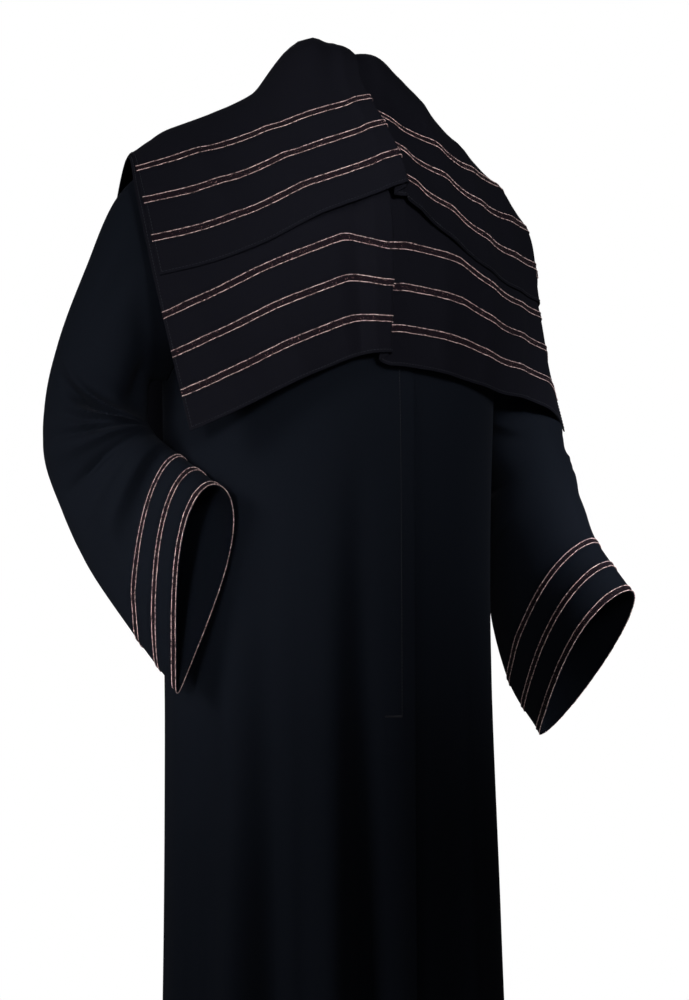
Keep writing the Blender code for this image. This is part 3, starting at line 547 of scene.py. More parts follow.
def skirt_rows():
    """Heights from the hem to the underarm, with the turned hem's edge among them."""
    hem = HEM_Z + ROBE_HEM_DEPTH
    above = np.linspace(hem + 3 * ROBE_HEM_STEP, UNDERARM_Z, SKIRT_ROWS - 2)[:-1]
    return np.concatenate([[HEM_Z, HEM_Z + ROBE_HEM_STEP, hem - ROBE_HEM_STEP, hem], above])


def back_grid():
    """Angles and heights of the back, from the wearer's left side seam round to the right one."""
    share = np.linspace(0, 1, BACK_COLUMNS + 1)
    low = pairs(math.pi / 2 + math.pi * share, skirt_rows()[:, None])
    up = armhole_shares(ARMHOLE_ROWS)
    across = np.linspace(0, 1, BACK_COLUMNS // 2 + 1)
    halves = []
    for side in (1, -1):
        centre = side * math.pi
        bottom = pairs(centre - centre / 2 * across, UNDERARM_Z)
        start = pairs(centre, UNDERARM_Z + (NECK_SIDE_Z - UNDERARM_Z) * up)
        top = top_edge(across, side, centre, NECK_SIDE_Z)
        halves.append(patch(bottom, top, start, armhole(up, side, False), up, across))
    left, right = halves
    right = right + np.array([2 * math.pi, 0.0])
    return np.vstack([low, np.hstack([left[:, ::-1], right[:, 1:]])])


def front_grid(side, edge_x):
    """Angles and heights of one front, from its own edge to the side seam, hem to shoulder."""
    across = np.linspace(0, 1, FRONT_COLUMNS + 1)
    up = armhole_shares(ARMHOLE_ROWS)
    seam = side * math.pi / 2
    heights = skirt_rows()[:, None]
    low = pairs(angle_at_x(edge_x, heights) * (1 - across) + seam * across, heights)
    underarm = angle_at_x(edge_x, np.array(UNDERARM_Z))
    bottom = pairs(underarm * (1 - across) + seam * across, UNDERARM_Z)
    edge_z = UNDERARM_Z + (NECK_FRONT_Z - UNDERARM_Z) * up
    start = pairs(angle_at_x(edge_x, edge_z), edge_z)
    top = top_edge(across, side, angle_at_x(edge_x, np.array(NECK_FRONT_Z)), NECK_FRONT_Z)
    return np.vstack([low, patch(bottom, top, start, armhole(up, side, True), up, across)])


def pull_in(line, inner, normals, closed=False):
    """Move an edge of a grid into its piece, so that two pieces sewn there are a seam's gap apart."""
    if closed:
        along = np.roll(line, -1, axis=0) - np.roll(line, 1, axis=0)
    else:
        along = np.gradient(line, axis=0)
    inward = unit(np.cross(normals, along))
    if opposed(inward, inner - line):
        inward = -inward
    line += inward * SEAM_GAP / 2


def grid_normals(points, closed, away):
    """Directions across a grid of points, averaged over the cells that meet at each, and turned away."""
    if closed:
        wide = np.concatenate([points[:, -1:], points, points[:, :1]], axis=1)
    else:
        before, after = 2 * points[:, :1] - points[:, 1:2], 2 * points[:, -1:] - points[:, -2:-1]
        wide = np.concatenate([before, points, after], axis=1)
    tall = np.concatenate([2 * wide[:1] - wide[1:2], wide, 2 * wide[-1:] - wide[-2:-1]], axis=0)
    across = unit(np.diff(tall, axis=1))
    along = unit(np.diff(tall, axis=0))
    total = np.zeros_like(points)
    for row in (0, 1):
        for column in (0, 1):
            a = across[1:-1, column:column + points.shape[1]]
            b = along[row:row + points.shape[0], 1:-1]
            total = total + unit(np.cross(a, b))
    return -unit(total) if opposed(total, away) else unit(total)


def sleeve_rings(table, hole, side):
    """Rings of points at each section of a sleeve, the first being the armhole itself."""
    turn = np.arange(len(hole)) * 2 * math.pi / len(hole)
    table = np.array(table)
    table[:, :8] /= MILLIMETRES
    crook, fall = table[:, 0:3], table[:, 3:6]
    middle = (crook + fall) / 2
    ahead = np.gradient(np.vstack([hole.mean(axis=0), middle]), axis=0)[1:]
    across = unit(np.cross(crook - fall, ahead)) * side
    rings = [hole]
    for row, (*_, outside, inside, fuller_outside, fuller_inside) in enumerate(table):
        arm = (crook[row] - fall[row]) / 2
        half = np.where(np.sin(turn) > 0, outside, inside)
        fuller = np.where(np.sin(turn) > 0, fuller_outside, fuller_inside)
        wide = half * np.sin(turn) * (1 + fuller * np.cos(turn))
        rings.append(middle[row] + np.cos(turn)[:, None] * arm + wide[:, None] * across[row])
    return np.array(rings)


def ring_places(rings):
    """The share of the sleeve's length at which each ring lies."""
    steps = np.linalg.norm(np.diff(rings, axis=0), axis=-1).mean(axis=1)
    length = np.concatenate([[0.0], np.cumsum(steps)])
    return length / length[-1]


def sleeve_surface(rings, creases, at):
    """The sleeve's outer surface at the given shares of its length, with its creases."""
    count = rings.shape[1]
    places = ring_places(rings)
    flat = smooth_table(places, rings.reshape(len(rings), -1), at)
    points = flat.reshape(len(at), count, 3)
    centre = points.mean(axis=1, keepdims=True)
    out = unit(points - centre)
    turn = np.degrees(np.arange(count) * 2 * math.pi / count)
    for along, round_, along_spread, round_spread, slant, rise in creases:
        away = (turn - round_ + 180) % 360 - 180
        place = along + slant * away / round_spread
        shape = np.exp(-((at[:, None] - place) / along_spread)**2) * np.exp(-(away / round_spread)**2)
        points = points + out * (rise * shape)[..., None]
    return points


def sleeve_places(rings, creases, from_hem):
    """Shares of the sleeve's length: even ones and the braids' rows, with the latter's row numbers."""
    fine = np.linspace(0, 1, SLEEVE_STEPS)
    surface = sleeve_surface(rings, creases, fine)
    steps = np.linalg.norm(np.diff(surface, axis=0), axis=-1).mean(axis=1)
    from_cuff = np.concatenate([np.cumsum(steps[::-1])[::-1], [0.0]])
    braids = np.interp(from_hem, from_cuff[::-1], fine[::-1])
    even = np.linspace(0, 1, SLEEVE_ROWS + 1)
    clear = np.abs(even[:, None] - braids[None, :]).min(axis=1) > BRAID_ROW_CLEARANCE / SLEEVE_ROWS
    clear[[0, -1]] = True
    places = np.sort(np.concatenate([even[clear], braids]))
    return places, [int(np.argmin(np.abs(places - braid))) for braid in braids]


def braid_rows(start, step, width):
    """Distances from a hem to both edges and the middle of each braid."""
    return np.concatenate([start + step * index + width * np.array([0.0, 0.5, 1.0]) for index in range(3)])


def armhole_points(side):
    """The armhole's points and outward directions, round from the underarm by the front and the shoulder."""
    share = armhole_shares(ARMHOLE_ROWS)
    front = armhole(share, side, True)
    back = armhole(share, side, False)[::-1]
    ring = np.vstack([front, back[1:-1]])
    return body_points(ring[:, 0], ring[:, 1]), body_normals(ring[:, 0], ring[:, 1])


def mitred(first, second):
    """Directions for two edges sewn together: halfway between, or each its own in a deep valley."""
    facing = (first * second).sum(axis=-1, keepdims=True)
    halfway = unit(first + second)
    return np.where(facing > 0, halfway, first), np.where(facing > 0, halfway, second)


def panel_normals(grid, points, columns):
    """Outward directions of a panel: of its own cells inside, and of the whole robe at its seams."""
    whole = body_normals(grid[..., 0], grid[..., 1])
    normals = grid_normals(points, False, whole)
    normals[-1] = whole[-1]
    for column in columns:
        normals[:, column] = whole[:, column]
    return normals


def lap_offset(angle):
    """How far the left front sinks to pass under the right one."""
    return (ROBE_CLOTH + LAP_GAP) * (1 - fade(angle, LAP_BLEND_START, LAP_BLEND_START + LAP_BLEND))


def along_grid(points, axis):
    """How far along a grid each point lies, in metres, for the weave."""
    steps = np.linalg.norm(np.diff(points, axis=axis), axis=-1)
    pad = [(0, 0), (0, 0)]
    pad[axis] = (1, 0)
    return np.cumsum(np.pad(steps, pad), axis=axis)


def outward_faces(points, faces):
    """Faces of a closed mesh turned so that they look out."""
    corners = points[faces]
    first = np.cross(corners[:, 1] - corners[:, 0], corners[:, 2] - corners[:, 0])
    second = np.cross(corners[:, 2] - corners[:, 0], corners[:, 3] - corners[:, 0])
    if opposed(corners[:, 0] - points.mean(axis=0), first + second):
        return faces[:, ::-1]
    return faces


def mesh_object(name, points, faces, materials, uv=None, kinds=None):
    """An object from arrays of points and four-sided faces."""
    mesh = bpy.data.meshes.new(name)
    mesh.vertices.add(len(points))
    mesh.vertices.foreach_set("co", points.astype(np.float32).ravel())
    mesh.loops.add(faces.size)
    mesh.loops.foreach_set("vertex_index", faces.astype(np.int32).ravel())
    mesh.polygons.add(len(faces))
    mesh.polygons.foreach_set("loop_start", np.arange(len(faces), dtype=np.int32) * 4)
    for material in materials:
        mesh.materials.append(material)
    if kinds is not None:
        mesh.polygons.foreach_set("material_index", kinds.astype(np.int32))
    mesh.update(calc_edges=True)
    if uv is not None:
        layer = mesh.uv_layers.new(name="cloth")
        layer.data.foreach_set("uv", uv[faces.ravel()].astype(np.float32).ravel())
    mesh.shade_smooth()
    mesh.set_sharp_from_angle(angle=SHARP_ANGLE)
    obj = bpy.data.objects.new(name, mesh)
    bpy.context.scene.collection.objects.link(obj)
    return obj


def grid_faces(rows, columns, closed):
    """Faces of a closed shell: a grid, the same grid further in, and the edges between the two."""
    spans = np.arange(columns if closed else columns - 1)
    after = (spans + 1) % columns
    row = np.arange(rows - 1)[:, None] * columns
    out = np.stack([row + spans, row + after, row + columns + after, row + columns + spans], axis=-1)
    out = out.reshape(-1, 4)
    back = rows * columns
    faces = [out, (out + back)[:, ::-1]]
    for line, order in ((0, 1), (rows - 1, -1)):
        a, b = line * columns + spans, line * columns + after
        faces.append(np.stack([a, b, b + back, a + back], axis=-1)[:, ::order])
    if not closed:
        for line, order in ((0, -1), (columns - 1, 1)):
            a = np.arange(rows - 1) * columns + line
            faces.append(np.stack([a, a + columns, a + columns + back, a + back], axis=-1)[:, ::order])
    return np.concatenate(faces)


def cloth_wall(name, outer, normals, thickness, closed, material):
    """A closed shell between a grid of points and the same points moved in."""
    rows, columns = outer.shape[:2]
    inner = outer - normals * np.broadcast_to(thickness, outer.shape[:2])[..., None]
    points = np.concatenate([outer.reshape(-1, 3), inner.reshape(-1, 3)])
    flat = np.stack([along_grid(outer, 1), along_grid(outer, 0)], axis=-1).reshape(-1, 2)
    faces = outward_faces(points, grid_faces(rows, columns, closed))
    return mesh_object(name, points, faces, [material], np.concatenate([flat, flat]))


def even_places(line, step, closed):
    """Fractional places on a line that are a step apart along it, and their distances."""
    if closed:
        line = np.vstack([line, line[:1]])
    length = distances(line)
    count = max(4, int(round(length[-1] / step)))
    at = np.linspace(0, length[-1], count + 1)
    if closed:
        at = at[:-1]
    return np.interp(at, length, np.arange(len(line))), at


def read_line(line, places, closed):
    """A line's points at fractional places."""
    if closed:
        line = np.vstack([line, line[:1]])
    low = np.clip(places.astype(int), 0, len(line) - 2)
    part = (places - low)[:, None]
    return line[low] * (1 - part) + line[low + 1] * part


def ripple(at, waves, phase):
    """An irregular number between about -1 and 1 for each distance along a braid."""
    turns = [np.sin(at * 2 * math.pi / wave + phase * (index + 1.7)) for index, wave in enumerate(waves)]
    return np.mean(turns, axis=0)


def tube_faces(rings, sides, closed):
    """Faces of a tube through rings of points, with flat ends unless it meets itself."""
    rows = np.arange(rings if closed else rings - 1)[:, None] * sides
    next_rows = (rows + sides) % (rings * sides)
    spans = np.arange(sides)
    after = (spans + 1) % sides
    faces = np.stack([rows + spans, rows + after, next_rows + after, next_rows + spans], axis=-1)
    faces = faces.reshape(-1, 4)
    if closed:
        return faces
    low = np.arange(sides // 2 - 1)
    cap = np.stack([low, low + 1, sides - 2 - low, sides - 1 - low], axis=-1)
    return np.concatenate([faces, cap[:, ::-1], cap + (rings - 1) * sides])


def cord(path, side, up, at, closed):
    """Points and faces of a twisted two-ply cord along a path."""
    turn = np.arange(CORD_SIDES) * 2 * math.pi / CORD_SIDES
    radius = CORD_RADIUS * (1 + CORD_LOBES * np.cos(2 * (turn - 2 * math.pi * at[:, None] / CORD_TWIST)))
    ring = (path[:, None] + side[:, None] * (np.cos(turn) * radius)[..., None]
            + up[:, None] * (np.sin(turn) * radius)[..., None])
    points = ring.reshape(-1, 3)
    return points, outward_faces(points, tube_faces(len(path), CORD_SIDES, closed))


def across_rows(rows, share):
    """A smooth line between the two edges and the middle of a strip."""
    weights = (2 * (share - 0.5) * (share - 1), 4 * share * (1 - share), 2 * share * (share - 0.5))
    return sum(weight * row for weight, row in zip(weights, rows))


def read_strip(strip, normals, step, closed):
    """Distances along a strip that are a step apart, and its rows of points and directions there."""
    places, at = even_places(strip[1], step, closed)
    rows, outs = ([read_line(row, places, closed) for row in lines] for lines in (strip, normals))
    return at, rows, outs


def braid(name, strip, normals, closed, materials, phase, shares_of_cords):
    """A flecked tape with a twisted cord near each edge, on a strip of three rows of a cloth's points."""
    at, rows, outs = read_strip(strip, normals, TAPE_STEP, closed)
    shares = np.linspace(0, 1, TAPE_COLUMNS)
    base = np.array([across_rows(rows, share) for share in shares])
    out = unit(np.array([across_rows(outs, share) for share in shares]))
    lumps = np.array([ripple(at, TAPE_WAVES, phase + 5 * share) for share in shares])
    height = BRAID_LIFT + TAPE_THICKNESS + TAPE_LUMPS * lumps
    points = np.concatenate([(base + out * height[..., None]).reshape(-1, 3),
                             (base + out * BRAID_LIFT).reshape(-1, 3)])
    faces = outward_faces(points, grid_faces(len(shares), len(at), closed))
    kinds = [np.zeros(len(faces))]
    parts = [(points, faces)]
    at, rows, outs = read_strip(strip, normals, CORD_STEP, closed)
    width = np.linalg.norm(rows[2] - rows[0], axis=1)[:, None]
    side = unit(rows[2] - rows[0])
    for share in shares_of_cords:
        up = unit(across_rows(outs, share))
        wander = CORD_WANDER * ripple(at, CORD_WAVES, phase + 9 * share)[:, None]
        path = across_rows(rows, share) + side * wander * np.minimum(1, width / SLEEVE_BRAID_WIDTH)
        path = path + up * (BRAID_LIFT + TAPE_THICKNESS / 2 + CORD_RADIUS)
        parts.append(cord(path, side, up, at, closed))
        kinds.append(np.ones(len(parts[-1][1])))
    offsets = np.cumsum([0] + [len(points) for points, _ in parts])
    faces = np.concatenate([faces + offset for (_, faces), offset in zip(parts, offsets)])
    points = np.concatenate([points for points, _ in parts])
    return mesh_object(name, points, faces, materials, kinds=np.concatenate(kinds))


def sew_braids(name, points, normals, closed, strips, phases, cords, looks):
    """The braids of a cuff or an end of the shayla, on rows of the cloth's points."""
    braids = []
    for index, (strip, phase, shares) in enumerate(zip(strips, phases, cords), start=1):
        trim = braid(f"{name}_braid_{index}", points[strip], normals[strip], closed,
                     [looks["tape"], looks["cord"]], phase, shares)
        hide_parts(f"{name}_trim_{index}")
        braids.append(trim)
    return braids


def stitch_ends(line, normals):
    """The two ends of each stitch along a line, and the outward direction there."""
    places, _ = even_places(line, STITCH + STITCH_GAP, False)
    starts = read_line(line, places, False)[:-1]
    steps = np.diff(read_line(line, places, False), axis=0)
    ends = starts + steps * STITCH / (STITCH + STITCH_GAP)
    return starts, ends, unit(read_line(normals, places, False)[:-1])


def threads(name, lines, material):
    """One object for all the stitches of several lines."""
    starts, ends, outs = (np.concatenate(column) for column in zip(*lines))
    side = unit(np.cross(ends - starts, outs))
    rings = []
    for share, height, thick in THREAD_RINGS:
        middle = starts + (ends - starts) * share + outs * (THREAD_ARCH * height + THREAD / 2)
        rings.append(np.stack([middle + side * THREAD * thick, middle + outs * THREAD * thick,
                               middle - side * THREAD * thick, middle - outs * THREAD * thick], axis=1))
    points = np.stack(rings, axis=1)
    one = outward_faces(points[0].reshape(-1, 3), tube_faces(len(rings), 4, False))
    faces = (np.arange(len(starts))[:, None, None] * 4 * len(rings) + one).reshape(-1, 4)
    return mesh_object(name, points.reshape(-1, 3), faces, [material])


def hemmed(points, normals):
    """Stitches along the row of a robe panel that lies at the top of its turned hem."""
    row = int(np.argmin(np.abs(skirt_rows() - (HEM_Z + ROBE_HEM_DEPTH - ROBE_HEM_STEP))))
    return stitch_ends(points[row], normals[row])


def robe_thickness(points):
    """The cloth's thickness, doubled where the hem is turned up."""
    extra = 1 - fade(points[..., 2], HEM_Z + ROBE_HEM_DEPTH - ROBE_HEM_STEP, HEM_Z + ROBE_HEM_DEPTH)
    return ROBE_CLOTH + HEM_THICKER * extra


def build_sleeve(name, side, table, creases, looks):
    """A sleeve and its braids. Returns them, and the robe's directions along its seam."""
    hole, body_out = armhole_points(side)
    rings = sleeve_rings(table, hole, side)
    edges = braid_rows(SLEEVE_BRAID_START, SLEEVE_BRAID_STEP, SLEEVE_BRAID_WIDTH)
    places, under = sleeve_places(rings, creases, edges)
    points = sleeve_surface(rings, creases, places)
    normals = grid_normals(points, True, points - points.mean(axis=1, keepdims=True))
    body_edge, normals[0] = mitred(body_out, normals[0])
    pull_in(points[0], points[1], normals[0], closed=True)
    shell = cloth_wall(name + "_cloth", points, normals, ROBE_CLOTH, True, looks["crepe"])
    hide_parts(name)
    strips = np.array(under).reshape(3, 3)
    phases = side + CUFF_PHASE_STEP * np.arange(3)
    cords = (CUFF_CORDS, CORD_SHARES, CORD_SHARES)
    return shell, sew_braids(name, points, normals, True, strips, phases, cords, looks), body_edge


def build_panel(name, points, normals, lines, looks):
    """A panel of the robe, and its stitches."""
    shell = cloth_wall(name + "_cloth", points, normals, robe_thickness(points), False, looks["crepe"])
    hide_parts(name)
    return shell, threads(name + "_stitches", [hemmed(points, normals), *lines], looks["thread"])


def build_robe(looks):
    """The sleeves with their braids, and the fronts and the back, each with its stitches."""
    left, left_braids, edge_left = build_sleeve("sleeve_left", 1, SLEEVE_LEFT, CREASES_LEFT, looks)
    right, right_braids, edge_right = build_sleeve("sleeve_right", -1, SLEEVE_RIGHT, CREASES_RIGHT, looks)
    shared = {1: edge_left, -1: edge_right}
    hole_rows = slice(len(skirt_rows()), None)
    pieces = {}
    for name, side, edge_x in (("front_right", -1, LAP_EDGE_X), ("front_left", 1, LAP_UNDER_X)):
        grid = front_grid(side, edge_x)
        points = body_points(grid[..., 0], grid[..., 1])
        if side > 0:
            out = body_normals(grid[..., 0], grid[..., 1])
            points = points - out * lap_offset(grid[..., 0])[..., None]
        normals = panel_normals(grid, points, columns=(-1,))
        normals[hole_rows, -1] = shared[side][:ARMHOLE_ROWS + 1]
        pull_in(points[:, -1], points[:, -2], normals[:, -1])
        pull_in(points[-1], points[-2], normals[-1])
        pieces[name] = build_panel(name, points, normals, placket_stitches() if side < 0 else [], looks)
    grid = back_grid()
    points = body_points(grid[..., 0], grid[..., 1])
    normals = panel_normals(grid, points, columns=(0, -1))
    for side, column, inner in ((1, 0, 1), (-1, -1, -2)):
        around = np.concatenate([shared[side][:1], shared[side][:ARMHOLE_ROWS - 1:-1]])
        normals[hole_rows, column] = around
        pull_in(points[:, column], points[:, inner], normals[:, column])
    pull_in(points[-1], points[-2], normals[-1])
    pieces["back"] = build_panel("back", points, normals, [], looks)
    pieces["sleeve_left"] = (left, *left_braids)
    pieces["sleeve_right"] = (right, *right_braids)
    return pieces


def placket_stitches():
    """The line of stitches beside the overlap's edge, and the bar tack across its end."""
    z = np.linspace(PLACKET_TOP_Z, PLACKET_END_Z, PLACKET_POINTS)
    angle = angle_at_x(np.full_like(z, LAP_EDGE_X - PLACKET_WIDTH), z)
    down = stitch_ends(body_points(angle, z), body_normals(angle, z))
    x = np.arange(0, BAR_TACK, BAR_TACK_STEP) + LAP_EDGE_X - PLACKET_WIDTH - BAR_TACK
    low = np.full_like(x, PLACKET_END_Z - STITCH / 2)
    high = low + STITCH
    bar = (body_points(angle_at_x(x, low), low), body_points(angle_at_x(x, high), high),
           body_normals(angle_at_x(x, low), low))
    return [down, bar]


def scarf_lines(w, share):
    """The points of one column of the shayla's surface, hem to back fold."""
    right, left = np.array(SCARF_RIGHT) / MILLIMETRES, np.array(SCARF_LEFT) / MILLIMETRES
    if share >= 1 and w >= PLEAT_W:
        return np.array([smooth_table(SCARF_W_LEFT, line, w) for line in left])
    whole = np.array([smooth_table(SCARF_W_RIGHT, line, w) for line in right])
    edge = unit(right[:, -1] - right[:, -2])
    return whole + (left[:, 0] - right[:, -1]) * share + edge * max(w - PLEAT_W, 0.0)


def curve_through(knots):
    """A smooth curve through a few points, finely divided, and its length up to each point."""
    gaps = np.linalg.norm(np.diff(knots, axis=0), axis=1)**0.5
    places = np.concatenate([[0.0], np.cumsum(gaps)])
    fine = np.linspace(0, places[-1], CURVE_STEPS)
    curve = smooth_table(places, knots, fine)
    length = distances(curve)
    return curve, length, np.interp(places, fine, length)


def scarf_columns(pleat_w):
    """Place across the width, share of the step and rise above the surface, for each column."""
    knots = np.array([(SCARF_PLAIN_RIGHT[-1] - pleat_w, 0.0, 0.0), *PLEAT,
                      (SCARF_PLAIN_LEFT[0] - pleat_w, 1.0, 0.0)])
    at = np.linspace(0, len(knots) - 1, PLEAT_STEPS * (len(knots) - 1) + 1)[1:-1]
    pleat = smooth_table(np.arange(len(knots)), knots, at, steady=True) + np.array([pleat_w, 0.0, 0.0])
    right = [(w, 0.0, 0.0) for w in SCARF_PLAIN_RIGHT]
    left = [(w, 1.0, 0.0) for w in SCARF_PLAIN_LEFT]
    return np.array(right + [tuple(row) for row in pleat] + left)


def between(marks, counts):
    """Numbers that divide each stretch between two marks into a count of steps."""
    stretches = zip(marks[:-1], marks[1:], counts)
    parts = [np.linspace(low, high, count + 1)[:-1] for low, high, count in stretches]
    return np.concatenate(parts + [marks[-1:]])


def drawn_together(edges, w, share, rule):
    """The braids' distances from their hem at one place across the width, closer together near a pleat."""
    start, end, less, nearer, less_beyond, nearer_beyond = rule
    before = fade(w, start, end) * (1 - share)
    beyond = (1 - fade(w, PLEAT_W, DRAWN_BEYOND)) * share
    return edges * (1 - less * before - less_beyond * beyond) - nearer * before - nearer_beyond * beyond


def scarf_grid(columns, from_upper):
    """The surface under the shayla, as rows from a hem to the back fold, and where each point is.

    Where is the distance along the surface from the lower hem, and the share of the way from the
    crest down to the fold.
    """
    edges = braid_rows(SCARF_BRAID_START, SCARF_BRAID_STEP, SCARF_BRAID_WIDTH)
    counts = [1] * len(HEM_ROWS) + [ROWS_TO_BRAID] + [1, 1, ROWS_TO_BRAID] * 2 + [1, 1]
    counts += [ROWS_TO_FOLD] if from_upper else [ROWS_UNDER_UPPER, ROWS_TO_FOLD]
    grid, along, down = [], [], []
    for w, share, _ in columns:
        lines = scarf_lines(w, share)
        if from_upper:
            inset = UPPER_INSET * (1 - fade(w, 0.0, INSET_END))
            lines = lines + (scarf_lines(w + inset, share) - lines) * np.array(INSET_SHARES)[:, None]
        curve, length, knots = curve_through(lines)
        own = drawn_together(edges, w, share, DRAWN_UPPER if from_upper else DRAWN_LOWER)
        if not from_upper:
            own = own * min(1.0, (knots[1] - SHOWN_BELOW_UPPER) / own[-1])
        marks = np.concatenate([[0.0], HEM_ROWS, own]) + (knots[1] if from_upper else 0.0)
        beyond = [length[-1]] if from_upper else [knots[1] + edges[-1], length[-1]]
        places = between(np.concatenate([marks, beyond]), counts)
        grid.append(np.stack([np.interp(places, length, curve[:, axis]) for axis in range(3)], axis=-1))
        along.append(places)
        down.append(np.clip((places - knots[3]) / (length[-1] - knots[3]), 0, 1))
    return np.array(grid).transpose(1, 0, 2), np.array(along).T, np.array(down).T


def drape(table, w, along):
    """How far a set of soft ridges lifts the cloth."""
    total = np.zeros_like(along)
    for at_w, at_along, half_w, half_along, slant, rise in table:
        away = w - at_w - slant * (along - at_along)
        total = total + rise * np.exp(-(away / half_w)**2) * np.exp(-((along - at_along) / half_along)**2)
    return total


def back_drape(w, down):
    """How far the long folds down the back lift the cloth."""
    total = np.zeros_like(down)
    for at_crest, at_fold, half_w, rise in BACK_DRAPE:
        away = w - at_crest - (at_fold - at_crest) * down
        total = total + rise * np.exp(-(away / half_w)**2) * fade(down, 0.05, 0.6)
    return total


def scarf_end(pleat_w, from_upper):
    """The middle of the cloth of one end of the shayla, from its hem to the back fold."""
    columns = scarf_columns(pleat_w)
    base, along, down = scarf_grid(columns, from_upper)
    w, _, rise = columns.T
    flat_columns = np.r_[:len(SCARF_PLAIN_RIGHT), len(w) - len(SCARF_PLAIN_LEFT):len(w)]
    surface = base[:, flat_columns]
    normals = grid_normals(surface, False, surface - np.array(WEARER_MIDDLE))
    flat = smooth_table(w[flat_columns], normals.transpose(1, 0, 2).reshape(len(flat_columns), -1), w)
    normals = unit(flat.reshape(len(w), -1, 3).transpose(1, 0, 2))
    height = rise[None] + SCARF_CLOTH / 2 + drape(LOWER_DRAPE, w[None], along) + back_drape(w[None], down)
    if from_upper:
        puff = LAYER_PUFF * np.exp(-((w - (PLEAT_W + LOWER_PLEAT_W) / 2) / LAYER_PUFF_SPREAD)**2)
        height = height + LAYER_RISE + puff[None] + drape(UPPER_DRAPE, w[None], along)
    return base + normals * height[..., None]


def build_scarf(looks):
    """The shayla as one cloth, from the lower hem over the back fold to the upper hem, and its braids."""
    lower = scarf_end(LOWER_PLEAT_W, False)
    upper = scarf_end(PLEAT_W, True)
    half = (upper[-1] - lower[-1]) / 2
    middle = (upper[-1] + lower[-1]) / 2
    radius = np.linalg.norm(half, axis=-1, keepdims=True)
    fall = unit(lower[-1] - lower[-3])
    turn = np.linspace(0, math.pi, TURN_ROWS + 2)[1:-1, None, None]
    fold = middle - np.cos(turn) * half + np.sin(turn) * fall * radius
    cloth = np.concatenate([lower, fold, upper[::-1]])
    away = cloth - np.array(WEARER_MIDDLE)
    away[len(lower):] = 0        # the upper end looks the other way in this grid
    normals = grid_normals(cloth, False, away)
    rows, columns = cloth.shape[:2]
    from_end = np.minimum(np.arange(rows), np.arange(rows)[::-1])
    from_side = np.minimum(np.arange(columns), np.arange(columns)[::-1])
    hem = len(HEM_ROWS) - 2
    thick = (from_end[:, None] <= hem) | (from_side[None] <= hem)
    thickness = SCARF_CLOTH + HEM_THICKER * thick
    front = cloth + normals * thickness[..., None] / 2
    shell = cloth_wall("shayla_cloth", front, normals, thickness, False, looks["shayla"])
    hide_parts("shayla_lower", "shayla_upper")
    behind = cloth - normals * thickness[..., None] / 2
    braids, lines = [], []
    first = len(HEM_ROWS) + ROWS_TO_BRAID
    strips = [slice(low, low + 3) for low in first + np.arange(3) * (2 + ROWS_TO_BRAID)]
    for name, surface, out, reach in (("shayla_lower", front, normals, len(lower)),
                                      ("shayla_upper", behind[::-1], -normals[::-1], len(upper))):
        phases = len(braids) + SHAYLA_PHASE_STEP * np.arange(3)
        braids += sew_braids(name, surface, out, False, strips, phases, [CORD_SHARES] * 3, looks)
        lines.append(stitch_ends(surface[hem, hem:-hem - 1], out[hem, hem:-hem - 1]))
        for column in (hem, -hem - 1):
            lines.append(stitch_ends(surface[hem:reach, column], out[hem:reach, column]))
    sewing = threads("shayla_stitches", lines, looks["shayla_thread"])
    return (shell, sewing, *braids)


def noise(nodes, links, coordinates, scale, detail, roughness):
    """A noise texture's value, over object or cloth coordinates."""
    texture = nodes.new("ShaderNodeTexNoise")
    texture.inputs["Scale"].default_value = scale
    texture.inputs["Detail"].default_value = detail
    texture.inputs["Roughness"].default_value = roughness
    links.new(nodes.new("ShaderNodeTexCoord").outputs[coordinates], texture.inputs["Vector"])
    return texture.outputs["Fac"]


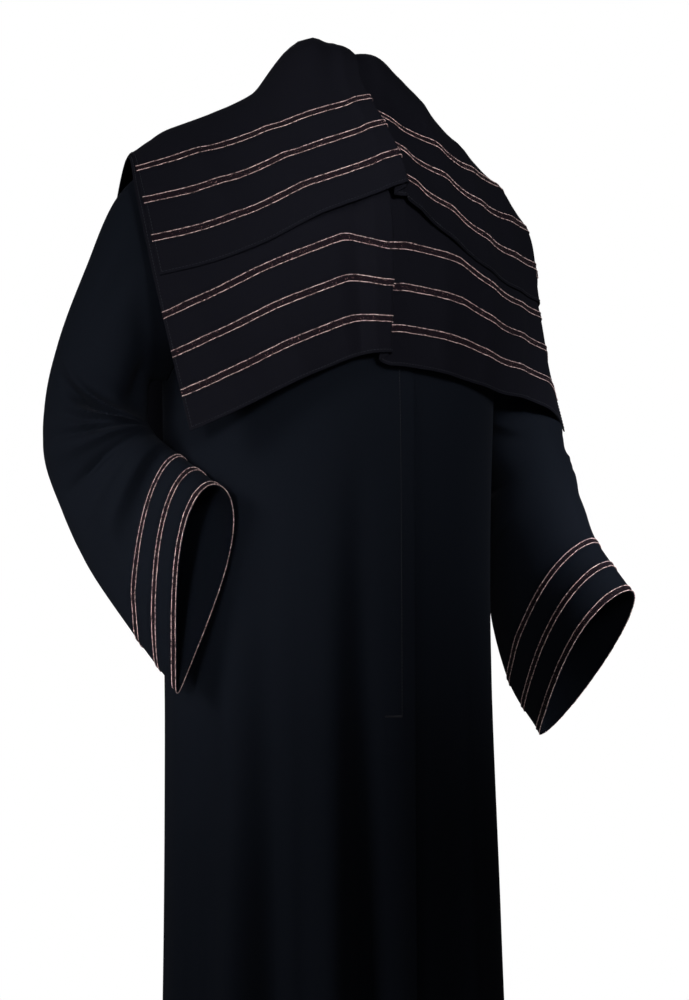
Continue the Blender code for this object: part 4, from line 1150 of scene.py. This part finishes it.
def fabric(name, finish, colours, spots=None, relief=None):
    """A material of one colour, or of (place, colour) stops over fine spots, with fine relief."""
    material = bpy.data.materials.new(name)
    material.use_nodes = True
    nodes, links = material.node_tree.nodes, material.node_tree.links
    shader = nodes["Principled BSDF"]
    roughness, specular, sheen, sheen_roughness, sheen_tint = finish
    shader.inputs["Roughness"].default_value = roughness
    shader.inputs["Specular IOR Level"].default_value = specular
    shader.inputs["Sheen Weight"].default_value = sheen
    shader.inputs["Sheen Roughness"].default_value = sheen_roughness
    shader.inputs["Sheen Tint"].default_value = (*sheen_tint, 1.0)
    if spots is None:
        shader.inputs["Base Color"].default_value = (*colours, 1.0)
        return material
    ramp = nodes.new("ShaderNodeValToRGB")
    while len(ramp.color_ramp.elements) < len(colours):
        ramp.color_ramp.elements.new(0.5)
    for element, (place, colour) in zip(ramp.color_ramp.elements, colours):
        element.position = place
        element.color = (*colour, 1.0)
    links.new(noise(nodes, links, "Object", *spots), ramp.inputs["Fac"])
    links.new(ramp.outputs["Color"], shader.inputs["Base Color"])
    if relief is not None:
        coordinates, grain, strength, distance = relief
        bump = nodes.new("ShaderNodeBump")
        bump.inputs["Strength"].default_value = strength
        bump.inputs["Distance"].default_value = distance
        links.new(noise(nodes, links, coordinates, *grain), bump.inputs["Height"])
        links.new(bump.outputs["Normal"], shader.inputs["Normal"])
    return material


def area_light(name, place, aim, size, energy, spread, colour):
    """A soft square light turned towards a point."""
    data = bpy.data.lights.new(name, "AREA")
    data.size = size
    data.energy = energy
    data.spread = math.radians(spread)
    data.color = colour
    light = bpy.data.objects.new(name, data)
    light.location = place
    light.rotation_euler = (Vector(aim) - Vector(place)).to_track_quat("-Z", "Y").to_euler()
    bpy.context.scene.collection.objects.link(light)


def build_stage():
    """White surroundings, soft lights, a pale floor below the hem, and the camera."""
    scene = bpy.context.scene
    world = bpy.data.worlds.new("white")
    world.use_nodes = True
    nodes, links = world.node_tree.nodes, world.node_tree.links
    background = nodes["Background"]
    background.inputs["Color"].default_value = (1, 1, 1, 1)
    rays = nodes.new("ShaderNodeLightPath")
    dim = nodes.new("ShaderNodeMapRange")
    dim.inputs["To Min"].default_value = SKY_LIGHT
    dim.inputs["To Max"].default_value = 1.0
    links.new(rays.outputs["Is Camera Ray"], dim.inputs["Value"])
    links.new(dim.outputs["Result"], background.inputs["Strength"])
    scene.world = world
    scene.view_settings.view_transform = "Standard"
    scene.view_settings.look = "None"
    for row in LIGHTS:
        area_light(*row)
    corners = ((-1, -1), (1, -1), (1, 1), (-1, 1))
    floor = np.array([(x * FLOOR_HALF, y * FLOOR_HALF, FLOOR_Z) for x, y in corners])
    ground = mesh_object("floor", floor, np.array([[0, 1, 2, 3]]), [fabric(*PAPER)])
    camera = bpy.data.objects.new("camera", bpy.data.cameras.new("camera"))
    camera.data.lens = FOCAL_LENGTH
    camera.data.sensor_width = SENSOR
    camera.location = (DISTANCE * math.sin(AZIMUTH), -DISTANCE * math.cos(AZIMUTH), TARGET_Z)
    camera.rotation_euler = Euler((math.radians(90), 0, AZIMUTH))
    scene.collection.objects.link(camera)
    scene.camera = camera


LOOKS = {key: fabric(*look) for key, look in FABRICS.items()}
ROBE = build_robe(LOOKS)
SHAYLA = build_scarf(LOOKS)
for piece in sum(ROBE.values(), SHAYLA):
    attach(piece, "root")
build_stage()
